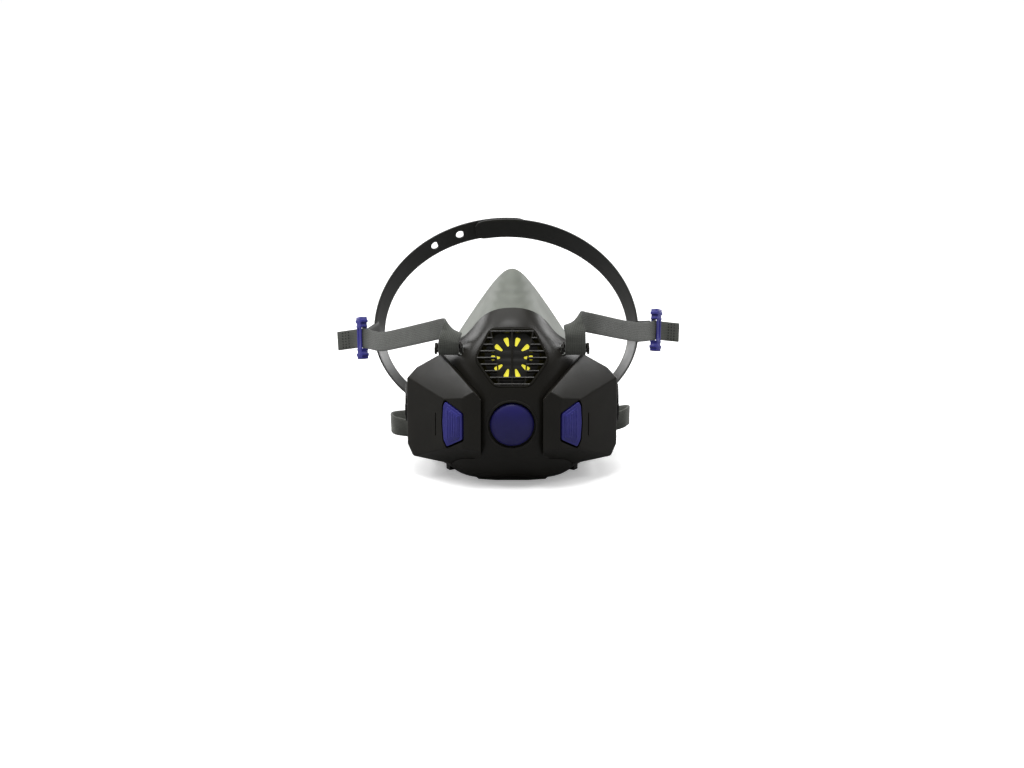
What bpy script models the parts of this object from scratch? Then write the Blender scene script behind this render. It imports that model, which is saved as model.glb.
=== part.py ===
"""Reusable half-mask respirator with a speaking grille, modelled as separate parts.

Sizes are in millimetres and become metres when a mesh is made. +Z is up, the
mask faces -Y, and the wearer's left is +X. Z = 0 is the surface it stands on.
"""
import math

import bmesh
import bpy
from mathutils import Matrix, Vector

MM = 0.001
MERGE = 0.00001

# Overall sizes
SHELL_HALF_WIDTH = 50.0
MASK_HEIGHT = 112.0
CRADLE_HALF_WIDTH = 88.5
CRADLE_RISE_ABOVE = 77.0
CRADLE_RISE_BELOW = 65.0

# Walls, clearances and shared thicknesses
GAP = 0.3
SHELL_WALL = 2.0
WING_WALL = 2.0
SILICONE_WALL = 1.8
FRAME_FRONT = -26.0
FRAME_BACK = -23.0

# Webbing
STRAP_WIDTH = 12.7
STRAP_THICKNESS = 1.1
LUG_BAR_RADIUS = 1.2
LUG_BAR = (39.5, -25.0, 84.0)
LUG_ARM = 1.6
LUG_HALF = STRAP_WIDTH / 2 + 0.8 + LUG_ARM

# Seal check button and the shutter it drives
BUTTON_HEIGHT = 42.3
BUTTON_RADIUS = 13.7
BUTTON_TRAVEL = 4.5
BUTTON_RECESS = 1.6
PLATE_FRONT = -48.0
STEM_RADIUS = 2.2
GUIDE_FRONT = -45.0
GUIDE_RADIUS = BUTTON_RADIUS + 1.9
SHUTTER_THICKNESS = 1.5
SHUTTER_FRONT = FRAME_FRONT - 2 * GAP - BUTTON_TRAVEL - SHUTTER_THICKNESS

# Speaking grille and diaphragm
GRILLE_CENTRE = (0.0, -40.15, 83.8)
GRILLE_TILT = 20.0
GRILLE_HALF_WIDTH = 23.4
GRILLE_HALF_HEIGHT = 18.5
GRILLE_DEPTH = 2.6
LOUVRE_PITCH = 4.1
LOUVRE_THICKNESS = 1.5
OPEN_LOW = -10.0
OPEN_HIGH = 14.0
DIAPHRAGM_RADIUS = 15.5

# Inhalation and exhalation valves
INHALE_X = 20.0
INHALE_HEIGHTS = (33.5, 51.5)
INHALE_RADIUS = 5.6
EXHALE_HEIGHT = 21.5
EXHALE_RADIUS = 8.0
SPEECH_HEIGHT = 82.0
SPEECH_RADIUS = 11.0

# Wings, release buttons and cartridge sockets
PORT_INNER = (19.3, -45.0)
PORT_OUTER = (51.5, -7.0)
WING_BACK = 20.0
RELEASE_CENTRE = (37.0, -42.0, 41.0)
RELEASE_GAP = 0.9
SOCKET_CENTRE = (65.0, 7.0, 41.0)
SOCKET_RADIUS = 10.5
SOCKET_WALL = 1.6

# Head cradle
CRADLE_CENTRE = (-3.5, 115.4, 59.4)
CRADLE_LEAN = 25.0
BAND_WIDTH = 14.0
BAND_THICKNESS = 1.2
BAND_LAYER_GAP = 0.9
BAND_HOLE_RADIUS = 2.8
BUCKLE_LENGTH = 5.0
BUCKLE_HEIGHT = 28.0
BUCKLE_THICKNESS = 5.0

wide = SHELL_HALF_WIDTH / 50.0
tall = MASK_HEIGHT / 112.0

PLASTIC = ((0.022, 0.020, 0.016, 1.0), 0.42, 0.0)
BLUE = ((0.035, 0.033, 0.26, 1.0), 0.38, 0.0)
BUTTON_BLUE = ((0.020, 0.017, 0.17, 1.0), 0.4, 0.0)
YELLOW = ((0.83, 0.75, 0.10, 1.0), 0.5, 0.0)
SILICONE = ((0.27, 0.29, 0.25, 1.0), 0.6, 0.0)
WEBBING = ((0.10, 0.105, 0.09, 1.0), 0.9, 0.0)
RUBBER = ((0.03, 0.03, 0.03, 1.0), 0.7, 0.0)
STEEL = ((0.6, 0.6, 0.6, 1.0), 0.3, 1.0)


# ---------------------------------------------------------------- helpers
def make_collection(name):
    collection = bpy.data.collections.new(name)
    bpy.context.scene.collection.children.link(collection)
    return collection


def finish(item, look):
    """Give a part a material of its own."""
    colour, roughness, metallic = look
    material = bpy.data.materials.new(item.name)
    material.use_nodes = True
    shader = material.node_tree.nodes["Principled BSDF"]
    shader.inputs["Base Color"].default_value = colour
    shader.inputs["Roughness"].default_value = roughness
    shader.inputs["Metallic"].default_value = metallic
    item.data.materials.clear()
    item.data.materials.append(material)
    return item


def link_mesh(name, mesh):
    item = bpy.data.objects.new(name, mesh)
    parts.objects.link(item)
    return item


def from_bmesh(name, bm):
    """A closed mesh whose faces point out."""
    bmesh.ops.recalc_face_normals(bm, faces=bm.faces)
    if bm.calc_volume(signed=True) < 0:
        bmesh.ops.reverse_faces(bm, faces=bm.faces)
    mesh = bpy.data.meshes.new(name)
    bm.to_mesh(mesh)
    bm.free()
    return link_mesh(name, mesh)


def frame_at(origin, x_axis, y_axis):
    """A placement matrix in metres whose Z axis is x_axis cross y_axis."""
    x_axis = Vector(x_axis).normalized()
    z_axis = x_axis.cross(Vector(y_axis)).normalized()
    y_axis = z_axis.cross(x_axis)
    matrix = Matrix((x_axis, y_axis, z_axis)).transposed().to_4x4()
    matrix.translation = Vector(origin) * MM
    return matrix


def evaluated_mesh(item):
    bpy.context.view_layer.update()
    graph = bpy.context.evaluated_depsgraph_get()
    mesh = bpy.data.meshes.new_from_object(item.evaluated_get(graph))
    mesh.name = item.name
    return mesh


def baked(item):
    """Replace an object by a welded mesh of what its modifiers make."""
    name = item.name
    mesh = evaluated_mesh(item)
    mesh.transform(item.matrix_world)
    bm = bmesh.new()
    bm.from_mesh(mesh)
    bmesh.ops.remove_doubles(bm, verts=bm.verts, dist=0.000002)
    bm.to_mesh(mesh)
    bm.free()
    bpy.data.objects.remove(item, do_unlink=True)
    return link_mesh(name, mesh)


def prism(name, loops, low, high, place):
    """A flat outline, with any inner loops as holes, from low to high along place's Z."""
    curve = bpy.data.curves.new(name, "CURVE")
    curve.dimensions = "2D"
    curve.fill_mode = "BOTH"
    curve.extrude = (high - low) / 2 * MM
    for loop in loops:
        spline = curve.splines.new("POLY")
        spline.points.add(len(loop) - 1)
        for knot, point in zip(spline.points, loop):
            knot.co = (point[0] * MM, point[1] * MM, 0.0, 1.0)
        spline.use_cyclic_u = True
    item = bpy.data.objects.new(name, curve)
    parts.objects.link(item)
    item.matrix_world = place @ Matrix.Translation((0, 0, (low + high) / 2 * MM))
    return baked(item)


def block(name, low, high, place=None):
    """A box between two corners."""
    bm = bmesh.new()
    bmesh.ops.create_cube(bm, size=1.0)
    size = [(high[i] - low[i]) * MM for i in range(3)]
    centre = [(high[i] + low[i]) / 2 * MM for i in range(3)]
    bm.transform(Matrix.Translation(centre) @ Matrix.Diagonal((*size, 1.0)))
    if place:
        bm.transform(place)
    return from_bmesh(name, bm)


def rod(name, radius, start, end, sides=16):
    """A cylinder between two points."""
    start = Vector(start) * MM
    end = Vector(end) * MM
    turn = (end - start).to_track_quat("Z", "Y").to_matrix().to_4x4()
    bm = bmesh.new()
    bmesh.ops.create_cone(bm, cap_ends=True, segments=sides, radius1=radius * MM,
                          radius2=radius * MM, depth=(end - start).length)
    bm.transform(Matrix.Translation((start + end) / 2) @ turn)
    return from_bmesh(name, bm)


def turned(name, profile, place, closed=False, steps=24):
    """A profile of (radius, height) points, top to bottom on its outer side, turned about Z."""
    mesh = bpy.data.meshes.new(name)
    points = [(radius * MM, 0.0, height * MM) for radius, height in profile]
    edges = [(i, i + 1) for i in range(len(points) - 1)]
    if closed:
        edges.append((len(points) - 1, 0))
    mesh.from_pydata(points, edges, [])
    item = link_mesh(name, mesh)
    screw = item.modifiers.new("turn", "SCREW")
    screw.steps = steps
    screw.render_steps = steps
    screw.use_merge_vertices = True
    screw.merge_threshold = MERGE
    item.matrix_world = place
    return item


def rods(name, pins, low, high, sides=10):
    """Several cylinders along Y in one cutter, as (x, z, radius) pins."""
    bm = bmesh.new()
    turn = Matrix.Rotation(math.radians(90), 4, "X")
    for x, z, radius in pins:
        centre = Vector((x, (low + high) / 2, z)) * MM
        bmesh.ops.create_cone(bm, cap_ends=True, segments=sides, radius1=radius * MM,
                              radius2=radius * MM, depth=(high - low) * MM,
                              matrix=Matrix.Translation(centre) @ turn)
    return from_bmesh(name, bm)


def tube_profile(inner, outer, low, high):
    return [(outer, high), (outer, low), (inner, low), (inner, high)]


def cut(item, cutter, operation="DIFFERENCE"):
    """Cut or join with a guide object that stays out of the model."""
    if cutter.name in parts.objects:
        parts.objects.unlink(cutter)
        cutters.objects.link(cutter)
    cutter.hide_render = True
    cutter.display_type = "WIRE"
    modifier = item.modifiers.new(operation.lower(), "BOOLEAN")
    modifier.operation = operation
    modifier.solver = "EXACT"
    modifier.object = cutter
    return item


def join(item, tool):
    return cut(item, tool, "UNION")


def bevel(item, width, segments=2, angle=30.0):
    modifier = item.modifiers.new("bevel", "BEVEL")
    modifier.width = width * MM
    modifier.segments = segments
    modifier.limit_method = "ANGLE"
    modifier.angle_limit = math.radians(angle)
    return item


def mirrored(item, name, look):
    """The same part for the other side of the mask."""
    mesh = evaluated_mesh(item)
    mesh.name = name
    mesh.transform(Matrix.Diagonal((-1.0, 1.0, 1.0, 1.0)) @ item.matrix_world)
    mesh.flip_normals()
    return finish(link_mesh(name, mesh), look)


def smooth_route(points, steps):
    """Points along a smooth curve through the given points (any number of values each)."""
    ends = [points[0]] + list(points) + [points[-1]]
    route = []
    for a, b, c, d in zip(ends, ends[1:], ends[2:], ends[3:]):
        for step in range(steps):
            t = step / steps
            route.append(tuple(
                0.5 * (2 * q + (r - p) * t + (2 * p - 5 * q + 4 * r - s) * t * t
                       + (3 * q - p - 3 * r + s) * t ** 3)
                for p, q, r, s in zip(a, b, c, d)))
    route.append(tuple(points[-1]))
    return route


def ribbon(name, stations, thickness):
    """A flat band lofted through (centre, edge direction, width) stations."""
    bm = bmesh.new()
    rings = []
    centres = [Vector(station[0]) for station in stations]
    for i, (centre, edge, width) in enumerate(stations):
        ahead = centres[min(i + 1, len(centres) - 1)] - centres[max(i - 1, 0)]
        edge = Vector(edge)
        edge = (edge - ahead.normalized() * edge.dot(ahead.normalized())).normalized()
        face = ahead.cross(edge).normalized()
        corners = []
        for across, up in ((-1, -1), (1, -1), (1, 1), (-1, 1)):
            corner = centres[i] + edge * (across * width / 2) + face * (up * thickness / 2)
            corners.append(bm.verts.new(corner * MM))
        rings.append(corners)
    for ring, following in zip(rings, rings[1:]):
        for side in range(4):
            other = (side + 1) % 4
            bm.faces.new((ring[side], ring[other], following[other], following[side]))
    bm.faces.new(rings[0])
    bm.faces.new(rings[-1])
    return from_bmesh(name, bm)


def strap(name, points, steps=4):
    """Webbing through hand-placed (x, y, z, edge x, edge y, edge z) points."""
    route = smooth_route(points, steps)
    stations = [(point[:3], point[3:], STRAP_WIDTH) for point in route]
    return finish(ribbon(name, stations, STRAP_THICKNESS), WEBBING)


def axis_empty(name, origin, children):
    """An empty on a joint's axis that carries the moving pieces."""
    empty = bpy.data.objects.new(name, None)
    parts.objects.link(empty)
    empty.location = Vector(origin) * MM
    bpy.context.view_layer.update()
    for child in children:
        child.parent = empty
        child.matrix_parent_inverse = empty.matrix_world.inverted()


def skin_from_rows(name, rows):
    """A half surface through rows of points, mirrored across X = 0."""
    bm = bmesh.new()
    grid = []
    for row in rows:
        grid.append([bm.verts.new((x * wide * MM, y * MM, z * tall * MM)) for x, y, z in row])
    for low, high in zip(grid, grid[1:]):
        for i in range(len(low) - 1):
            corners = (low[i], low[i + 1], high[i + 1], high[i])
            bm.faces.new(corners)
    mesh = bpy.data.meshes.new(name)
    bm.to_mesh(mesh)
    bm.free()
    item = link_mesh(name, mesh)
    mirror = item.modifiers.new("mirror", "MIRROR")
    mirror.merge_threshold = MERGE
    return item


def subdivide(item, levels=1):
    modifier = item.modifiers.new("smooth", "SUBSURF")
    modifier.levels = levels
    modifier.render_levels = levels


def thicken(item, wall):
    modifier = item.modifiers.new("wall", "SOLIDIFY")
    modifier.thickness = wall * MM
    modifier.offset = -1.0


def outline_planes(outline, axis):
    """Outward planes through the sides of a clockwise convex outline, parallel to an axis."""
    planes = []
    for (a1, b1), (a2, b2) in zip(outline, outline[1:]):
        along = Vector((a2 - a1, b2 - b1)).normalized()
        if axis == "Y":
            planes.append(((a1, 0.0, b1), (-along.y, 0.0, along.x)))
        else:
            planes.append(((a1, b1, 0.0), (along.y, -along.x, 0.0)))
    return planes


def plane_through(p, q, r):
    p = Vector(p)
    normal = (Vector(q) - p).cross(Vector(r) - p).normalized()
    if normal.y > 0:
        normal.negate()
    return p, normal


def faceted(name, planes, grow):
    """The convex solid inside a set of planes, each moved out by grow."""
    bm = bmesh.new()
    bmesh.ops.create_cube(bm, size=0.4)
    for point, normal in planes:
        normal = Vector(normal).normalized()
        point = (Vector(point) + normal * grow) * MM
        everything = bm.verts[:] + bm.edges[:] + bm.faces[:]
        bmesh.ops.bisect_plane(bm, geom=everything, dist=0.0000001, plane_co=point,
                               plane_no=normal, clear_outer=True)
        rim = [edge for edge in bm.edges if edge.is_boundary]
        bmesh.ops.holes_fill(bm, edges=rim)
    return from_bmesh(name, bm)


FLAT = frame_at((0, 0, 0), (1, 0, 0), (0, 1, 0))
FRONT = frame_at((0, 0, 0), (1, 0, 0), (0, 0, 1))


def front_frame(x, y, z):
    """Local X to the right, Y up and Z out of the mask's front."""
    return frame_at((x, y, z), (1, 0, 0), (0, 0, 1))


for old in list(bpy.data.objects):
    bpy.data.objects.remove(old, do_unlink=True)
parts = make_collection("respirator")
cutters = make_collection("cutters")


# ---------------------------------------------------------------- wings
def port_side(offset):
    """The wing's slanted inner side: its two ends, moved towards the wing by offset."""
    inner = Vector((PORT_INNER[0] * wide, PORT_INNER[1]))
    outer = Vector((PORT_OUTER[0] * wide, PORT_OUTER[1]))
    along = (outer - inner).normalized()
    return inner, outer, along, Vector((along.y, -along.x)) * offset


WING_TOPS = [((44.5, -20, 80.5), (60, -16, 70.5), (44.5, 20, 70.0)),
             ((60, -16, 70.5), (66, -12, 62.5), (60, 20, 60.5))]


def wing_solid(name, grow, port_grow, side_grow):
    """The wing's outer form, grown on its outside, its port side and its inner rear side."""
    front_outline = [(66.0, 62.0), (66.0, 20.0), (62.5, 13.2), (40.0, 10.0), (23.0, 14.1),
                     (19.3, 18.4), (19.3, 59.0), (22.5, 63.0), (44.5, 80.5)]
    plan_outline = [(19.3, -50.0), (31.0, -46.0), (43.0, -38.0), (66.0, -14.0),
                    (64.0, WING_BACK)]
    front_outline = [(x * wide, z * tall) for x, z in front_outline]
    plan_outline = [(x * wide, y) for x, y in plan_outline]
    planes = outline_planes(front_outline, "Y") + outline_planes(plan_outline, "Z")
    planes.append(((0, WING_BACK, 0), (0, 1, 0)))
    planes.append(plane_through((43.6 * wide, -37.6, 56 * tall), (61 * wide, -17.5, 64.5 * tall),
                                (44.5 * wide, -20, 80.5 * tall)))
    for p, q, r in WING_TOPS:
        p, q, r = (Vector((x * wide, y, z * tall)) for x, y, z in (p, q, r))
        normal = (q - p).cross(r - p)
        planes.append((p, normal if normal.z > 0 else -normal))
    planes.append(plane_through((62 * wide, -18.2, 13 * tall), (41 * wide, -39, 24 * tall),
                                (40 * wide, -24, 10 * tall)))
    wing = faceted(name, planes, grow)
    inner, outer, along, _ = port_side(0)
    push = Vector((along.y, -along.x)) * -port_grow
    reach = 40.0
    corner_x = outer.x - side_grow
    start = inner + push
    corner = start + along * ((corner_x - start.x) / along.x)
    low = start - along * reach
    core = [tuple(low), (corner.x, corner.y), (corner_x, WING_BACK + reach),
            (low.x, WING_BACK + reach)]
    cut(wing, prism(name + "_core", [core], -reach, 3 * reach, FLAT))
    return wing


RELEASE_PLACE = frame_at((RELEASE_CENTRE[0] * wide, RELEASE_CENTRE[1], RELEASE_CENTRE[2] * tall),
                         (12 * wide, 8, 0), (0, 0, 1))
RELEASE_OUTLINE = [(-7.4, -9.0), (-7.4, 8.0), (5.6, 14.2), (7.2, 11.0), (7.9, 0.0),
                   (7.0, -11.0), (4.4, -15.4)]


def offset_outline(outline, distance):
    """Move a clockwise outline's sides outwards by a distance."""
    moved = []
    count = len(outline)
    for i in range(count):
        before = Vector(outline[i]) - Vector(outline[i - 1])
        after = Vector(outline[(i + 1) % count]) - Vector(outline[i])
        n1 = Vector((-before.y, before.x)).normalized()
        n2 = Vector((-after.y, after.x)).normalized()
        bisector = (n1 + n2).normalized()
        moved.append(tuple(Vector(outline[i]) + bisector * (distance / bisector.dot(n1))))
    return moved


socket_x = SOCKET_CENTRE[0] * wide
socket_place = frame_at((socket_x, SOCKET_CENTRE[1], SOCKET_CENTRE[2] * tall), (0, 1, 0), (0, 0, 1))
latch_low = (SOCKET_CENTRE[2] - 3.5) * tall
latch_high = (SOCKET_CENTRE[2] + 3.5) * tall
LATCH_OUTLINE = [(43.5, -31.0), (54.5, -7.4), (66.6, -7.4), (67.6, -8.6), (67.6, -10.2),
                 (56.0, -10.2), (45.0, -31.8)]


def make_wings():
    wing = wing_solid("left_wing_shell", 0.0, 0.0, 0.0)
    bevel(wing, 2.0, 2, 22.0)
    wing = baked(wing)
    cut(wing, wing_solid("wing_hollow", -WING_WALL, 1.0, -WING_WALL))
    window = offset_outline(RELEASE_OUTLINE, RELEASE_GAP)
    cut(wing, prism("release_window", [window], -8, 8, RELEASE_PLACE))
    cut(wing, rod("socket_hole", SOCKET_RADIUS + GAP,
                  (socket_x - 12, SOCKET_CENTRE[1], SOCKET_CENTRE[2] * tall),
                  (socket_x + 12, SOCKET_CENTRE[1], SOCKET_CENTRE[2] * tall), 32))
    cut(wing, block("latch_slot", (60 * wide, -10.2 - GAP, latch_low - GAP),
                    (72 * wide, -7.4 + GAP, latch_high + GAP)))
    groove_place = frame_at((47.8 * wide, -33.0, 38.5 * tall), (23, 24, 0), (0, 0, 1))
    cut(wing, block("groove", (-0.5, -7.5, -0.7), (0.5, 7.5, 3), groove_place))
    wing = baked(wing)
    finish(wing, PLASTIC)
    mirrored(wing, "right_wing_shell", PLASTIC)


def make_wing_backs():
    """The bulkhead that closes a wing towards the mask, with its air port."""
    back = wing_solid("left_wing_back", -WING_WALL - GAP, 0.0, -WING_WALL - GAP)
    inner, outer, along, _ = port_side(0)
    slab = frame_at((inner.x, inner.y, 0), (along.x, along.y, 0), (0, 0, 1))
    cut(back, block("bulkhead_slab", (2.0, 5 * tall, 0.2), (45.6, 78 * tall, 2.0), slab),
        "INTERSECT")
    centre = inner + along * 27.0
    normal = Vector((along.y, -along.x))
    cut(back, rod("air_port", 7.5, (*(centre - normal * 6), SOCKET_CENTRE[2] * tall),
                  (*(centre + normal * 6), SOCKET_CENTRE[2] * tall), 20))
    back = baked(back)
    finish(back, PLASTIC)
    mirrored(back, "right_wing_back", PLASTIC)


def release_spring_foot():
    """How deep behind the button's face its spring starts, so that it meets the wing back.

    The spring leans, so it is the point half a turn up, an eighth of its length, that meets it.
    """
    inner, _, along, _ = port_side(0)
    across = Vector((along.y, -along.x))
    face = Vector((RELEASE_CENTRE[0] * wide, RELEASE_CENTRE[1])) - inner
    pressed = Vector((8.0, -12.0 * wide)).normalized()
    depth = (face.dot(across) - 2.0) / across.dot(pressed)
    return (depth - 1.725) / 0.875


def make_release():
    button = prism("left_release_button", [RELEASE_OUTLINE], -3.2, 0.9, RELEASE_PLACE)
    bevel(button, 0.6, 2, 40.0)
    for s in (-3.6, -0.6, 2.4):
        cut(button, block("rib_groove", (s - 0.55, -7.0 + s / 4, 0.35), (s + 0.55, 7.0 + s / 3, 3),
                          RELEASE_PLACE))
    button = baked(button)
    finish(button, BLUE)
    foot = release_spring_foot()
    spring = helix("left_release_spring", RELEASE_PLACE @ Matrix.Translation(
        (0, 0, -foot * MM)), 2.6, 0.35, foot - 3.7, 4)
    finish(spring, STEEL)
    outline = [(x * wide, y) for x, y in LATCH_OUTLINE]
    latch = finish(prism("left_latch", [outline], latch_low, latch_high, FLAT), PLASTIC)
    others = [mirrored(button, "right_release_button", BLUE),
              mirrored(latch, "right_latch", PLASTIC)]
    mirrored(spring, "right_release_spring", STEEL)
    x, y, z = RELEASE_CENTRE
    axis_empty("left_release_axis", (x * wide, y, z * tall), [button])
    axis_empty("right_release_axis", (-x * wide, y, z * tall), [others[0]])
    axis_empty("left_latch_axis", (socket_x, -8.8, z * tall), [latch])
    axis_empty("right_latch_axis", (-socket_x, -8.8, z * tall), [others[1]])


def make_sockets():
    """The collar that a cartridge's spigot enters, and the seal at its foot."""
    radius = SOCKET_RADIUS
    inner = radius - SOCKET_WALL
    profile = [(radius + 1.6, 2.6), (radius + 1.6, 1.6), (radius, 1.6), (radius, -9.0),
               (inner - 1.6, -9.0), (inner - 1.6, -8.0), (inner, -8.0), (inner, 2.6)]
    socket = baked(turned("left_socket", profile, socket_place, True, 32))
    finish(socket, PLASTIC)
    mirrored(socket, "right_socket", PLASTIC)
    seal = tube_profile(inner - 1.8, inner - GAP, -8.0 + GAP, -5.8)
    gasket = baked(turned("left_port_gasket", seal, socket_place, True, 32))
    bevel(gasket, 0.4, 1)
    gasket = baked(gasket)
    finish(gasket, RUBBER)
    mirrored(gasket, "right_port_gasket", RUBBER)


def helix(name, place, radius, wire, length, turns, points_per_turn=8):
    """A compression spring along place's Z axis."""
    curve = bpy.data.curves.new(name, "CURVE")
    curve.dimensions = "3D"
    curve.bevel_depth = wire * MM
    curve.bevel_resolution = 0
    curve.use_fill_caps = True
    spline = curve.splines.new("POLY")
    count = turns * points_per_turn
    spline.points.add(count)
    for i, knot in enumerate(spline.points):
        angle = 2 * math.pi * i / points_per_turn
        height = wire + (length - 2 * wire) * i / count
        knot.co = (radius * math.cos(angle) * MM, radius * math.sin(angle) * MM, height * MM, 1.0)
    item = bpy.data.objects.new(name, curve)
    parts.objects.link(item)
    item.matrix_world = place
    return baked(item)


# ---------------------------------------------------------------- shell and grille
SHELL_ROWS = [
    [(0, -28, 1.5), (10, -28, 1.5), (21, -27, 1.5), (31.5, -23.5, 2.4), (39, -15, 5.4),
     (43, -4, 7.5), (46, 8, 8.5)],
    [(0, -35.5, 3.5), (10, -35.5, 3.5), (21, -34.5, 3.6), (32.5, -30, 4.8), (40.5, -20, 7.6),
     (46, -8, 9.8), (49, 4, 10.5)],
    [(0, -41, 12), (9, -41, 12), (19, -40, 12), (30, -36, 12), (39, -28, 12.5), (46, -15, 13.5),
     (50, 0, 14)],
    [(0, -46, 24), (9, -46, 24), (18, -45, 24), (28, -40, 24), (37, -32, 24), (45, -18, 24),
     (49, -2, 24)],
    [(0, -48, 42), (9, -48, 42), (18, -47, 42), (28, -41, 42), (37, -32, 42), (45, -18, 42),
     (49, -2, 42)],
    [(0, -48, 56), (9, -48, 56), (17, -47.5, 56), (26, -42, 56), (36, -32, 55), (45, -18, 54),
     (48, -2, 53)],
    [(0, -47, 66), (10, -46.5, 66), (19, -44.5, 66), (26, -38, 66), (34, -28, 64.5), (42, -16, 63.5),
     (46, -2, 62)],
    [(0, -43, 78), (12, -42.5, 78), (23, -41, 78), (29, -36, 77), (35, -26, 75.5), (40.5, -16, 73.5),
     (45, -4, 71)],
    [(0, -38.5, 90), (12, -38, 90), (22, -36.5, 89), (28.5, -31, 86.5), (34, -23, 83), (39, -15, 79.5),
     (43.5, -6, 76.5)],
    [(0, -34.5, 100), (10, -34, 99.5), (18.5, -31.5, 97), (24.5, -26.5, 92.5), (30, -20, 88.5),
     (35.5, -14, 84), (41, -7, 80.5)],
    [(0, -28, 106.5), (8, -27.5, 105.8), (15.5, -25, 102.8), (20.5, -20.5, 98.8), (26, -15.5, 93.5),
     (31.5, -11.5, 87.5), (38, -6, 83.5)],
    [(0, -20, 110.5), (7, -19.5, 110), (14, -17.5, 107.2), (19, -14, 103), (23.5, -11, 97),
     (28.5, -8.5, 89.5), (35, -5, 85.5)],
]

tilt = math.radians(GRILLE_TILT)
grille_centre = (GRILLE_CENTRE[0], GRILLE_CENTRE[1], GRILLE_CENTRE[2] * tall)
GRILLE_PLACE = frame_at(grille_centre, (1, 0, 0), (0, math.sin(tilt), math.cos(tilt)))
HEXAGON = [(-1.0, -0.04), (-0.585, 1.0), (0.585, 1.0), (1.0, -0.04), (0.472, -1.0), (-0.472, -1.0)]
BUTTON_PLACE = front_frame(0, PLATE_FRONT, BUTTON_HEIGHT * tall)


def grille_outline(offset):
    outline = [(x * GRILLE_HALF_WIDTH, z * GRILLE_HALF_HEIGHT) for x, z in HEXAGON]
    return offset_outline(outline, offset)


def half_width_at(outline, height):
    """Half the outline's width at a height, or zero outside it."""
    for (x1, z1), (x2, z2) in zip(outline[2:5], outline[3:5]):
        if z2 <= height <= z1:
            return x1 + (x2 - x1) * (height - z1) / (z2 - z1)
    return 0.0


def make_shell():
    shell = skin_from_rows("front_shell", SHELL_ROWS)
    subdivide(shell)
    thicken(shell, SHELL_WALL)
    shell = baked(shell)
    for sign, name in ((1, "wing_room_left"), (-1, "wing_room_right")):
        room = baked(wing_solid(name, GAP, GAP, GAP))
        if sign < 0:
            room.data.transform(Matrix.Diagonal((-1.0, 1.0, 1.0, 1.0)))
            room.data.flip_normals()
        cut(shell, room)
    cut(shell, prism("grille_room", [grille_outline(GAP)], -12, 12, GRILLE_PLACE))
    cut(shell, rod("button_room", BUTTON_RADIUS + BUTTON_RECESS, (0, -60, BUTTON_HEIGHT * tall),
                   (0, -40, BUTTON_HEIGHT * tall), 40))
    cut(shell, rod("guide_room", GUIDE_RADIUS + GAP, (0, GUIDE_FRONT - GAP, BUTTON_HEIGHT * tall),
                   (0, -30, BUTTON_HEIGHT * tall), 40))
    x, y, z = LUG_BAR
    for sign in (-1, 1):
        centre = sign * x * wide
        cut(shell, block("lug_slot", (centre - LUG_HALF - GAP, y - 3, z * tall - 3 - GAP),
                         (centre + LUG_HALF + GAP, y + 10 + GAP, z * tall + 2.6 + GAP)))
    finish(baked(shell), PLASTIC)


def rib_at(height):
    """The middle of a side rib at a height."""
    top = GRILLE_HALF_HEIGHT - 0.9
    if height > -4.0:
        return 9.0 + 4.4 * (height + 4.0) / (top + 4.0)
    return 9.0 + (height + 4.0) / (top - 4.0)


def make_grille():
    hexagon = grille_outline(0.0)
    opening = grille_outline(-1.7)
    grille = prism("speech_grille", [hexagon, opening], -GRILLE_DEPTH, 0.4, GRILLE_PLACE)
    count = int(2 * GRILLE_HALF_HEIGHT / LOUVRE_PITCH)
    for i in range(count):
        height = (i - (count - 1) / 2) * LOUVRE_PITCH
        middle = grille_outline(-0.9)
        reach = min(half_width_at(middle, height - LOUVRE_THICKNESS / 2),
                    half_width_at(middle, height + LOUVRE_THICKNESS / 2))
        spans = [(-reach, reach)]
        if OPEN_LOW < height < OPEN_HIGH:
            spans = [(-reach, -rib_at(height)), (rib_at(height), reach)]
        for low, high in spans:
            join(grille, block("louvre", (low, height - LOUVRE_THICKNESS / 2, 0.3 - GRILLE_DEPTH),
                               (high, height + LOUVRE_THICKNESS / 2, 0.1), GRILLE_PLACE))
    top = GRILLE_HALF_HEIGHT - 0.9
    join(grille, block("centre_rib", (-0.8, -top, 0.6 - GRILLE_DEPTH), (0.8, top, -0.2), GRILLE_PLACE))
    for sign in (-1, 1):
        rib = [(sign * 12.6, top), (sign * 14.2, top - 0.2), (sign * 9.8, -4.0), (sign * 8.8, -top),
               (sign * 7.2, -top), (sign * 8.2, -4.0)]
        join(grille, prism("side_rib", [rib], 0.6 - GRILLE_DEPTH, -0.2, GRILLE_PLACE))
    finish(baked(grille), PLASTIC)


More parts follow.
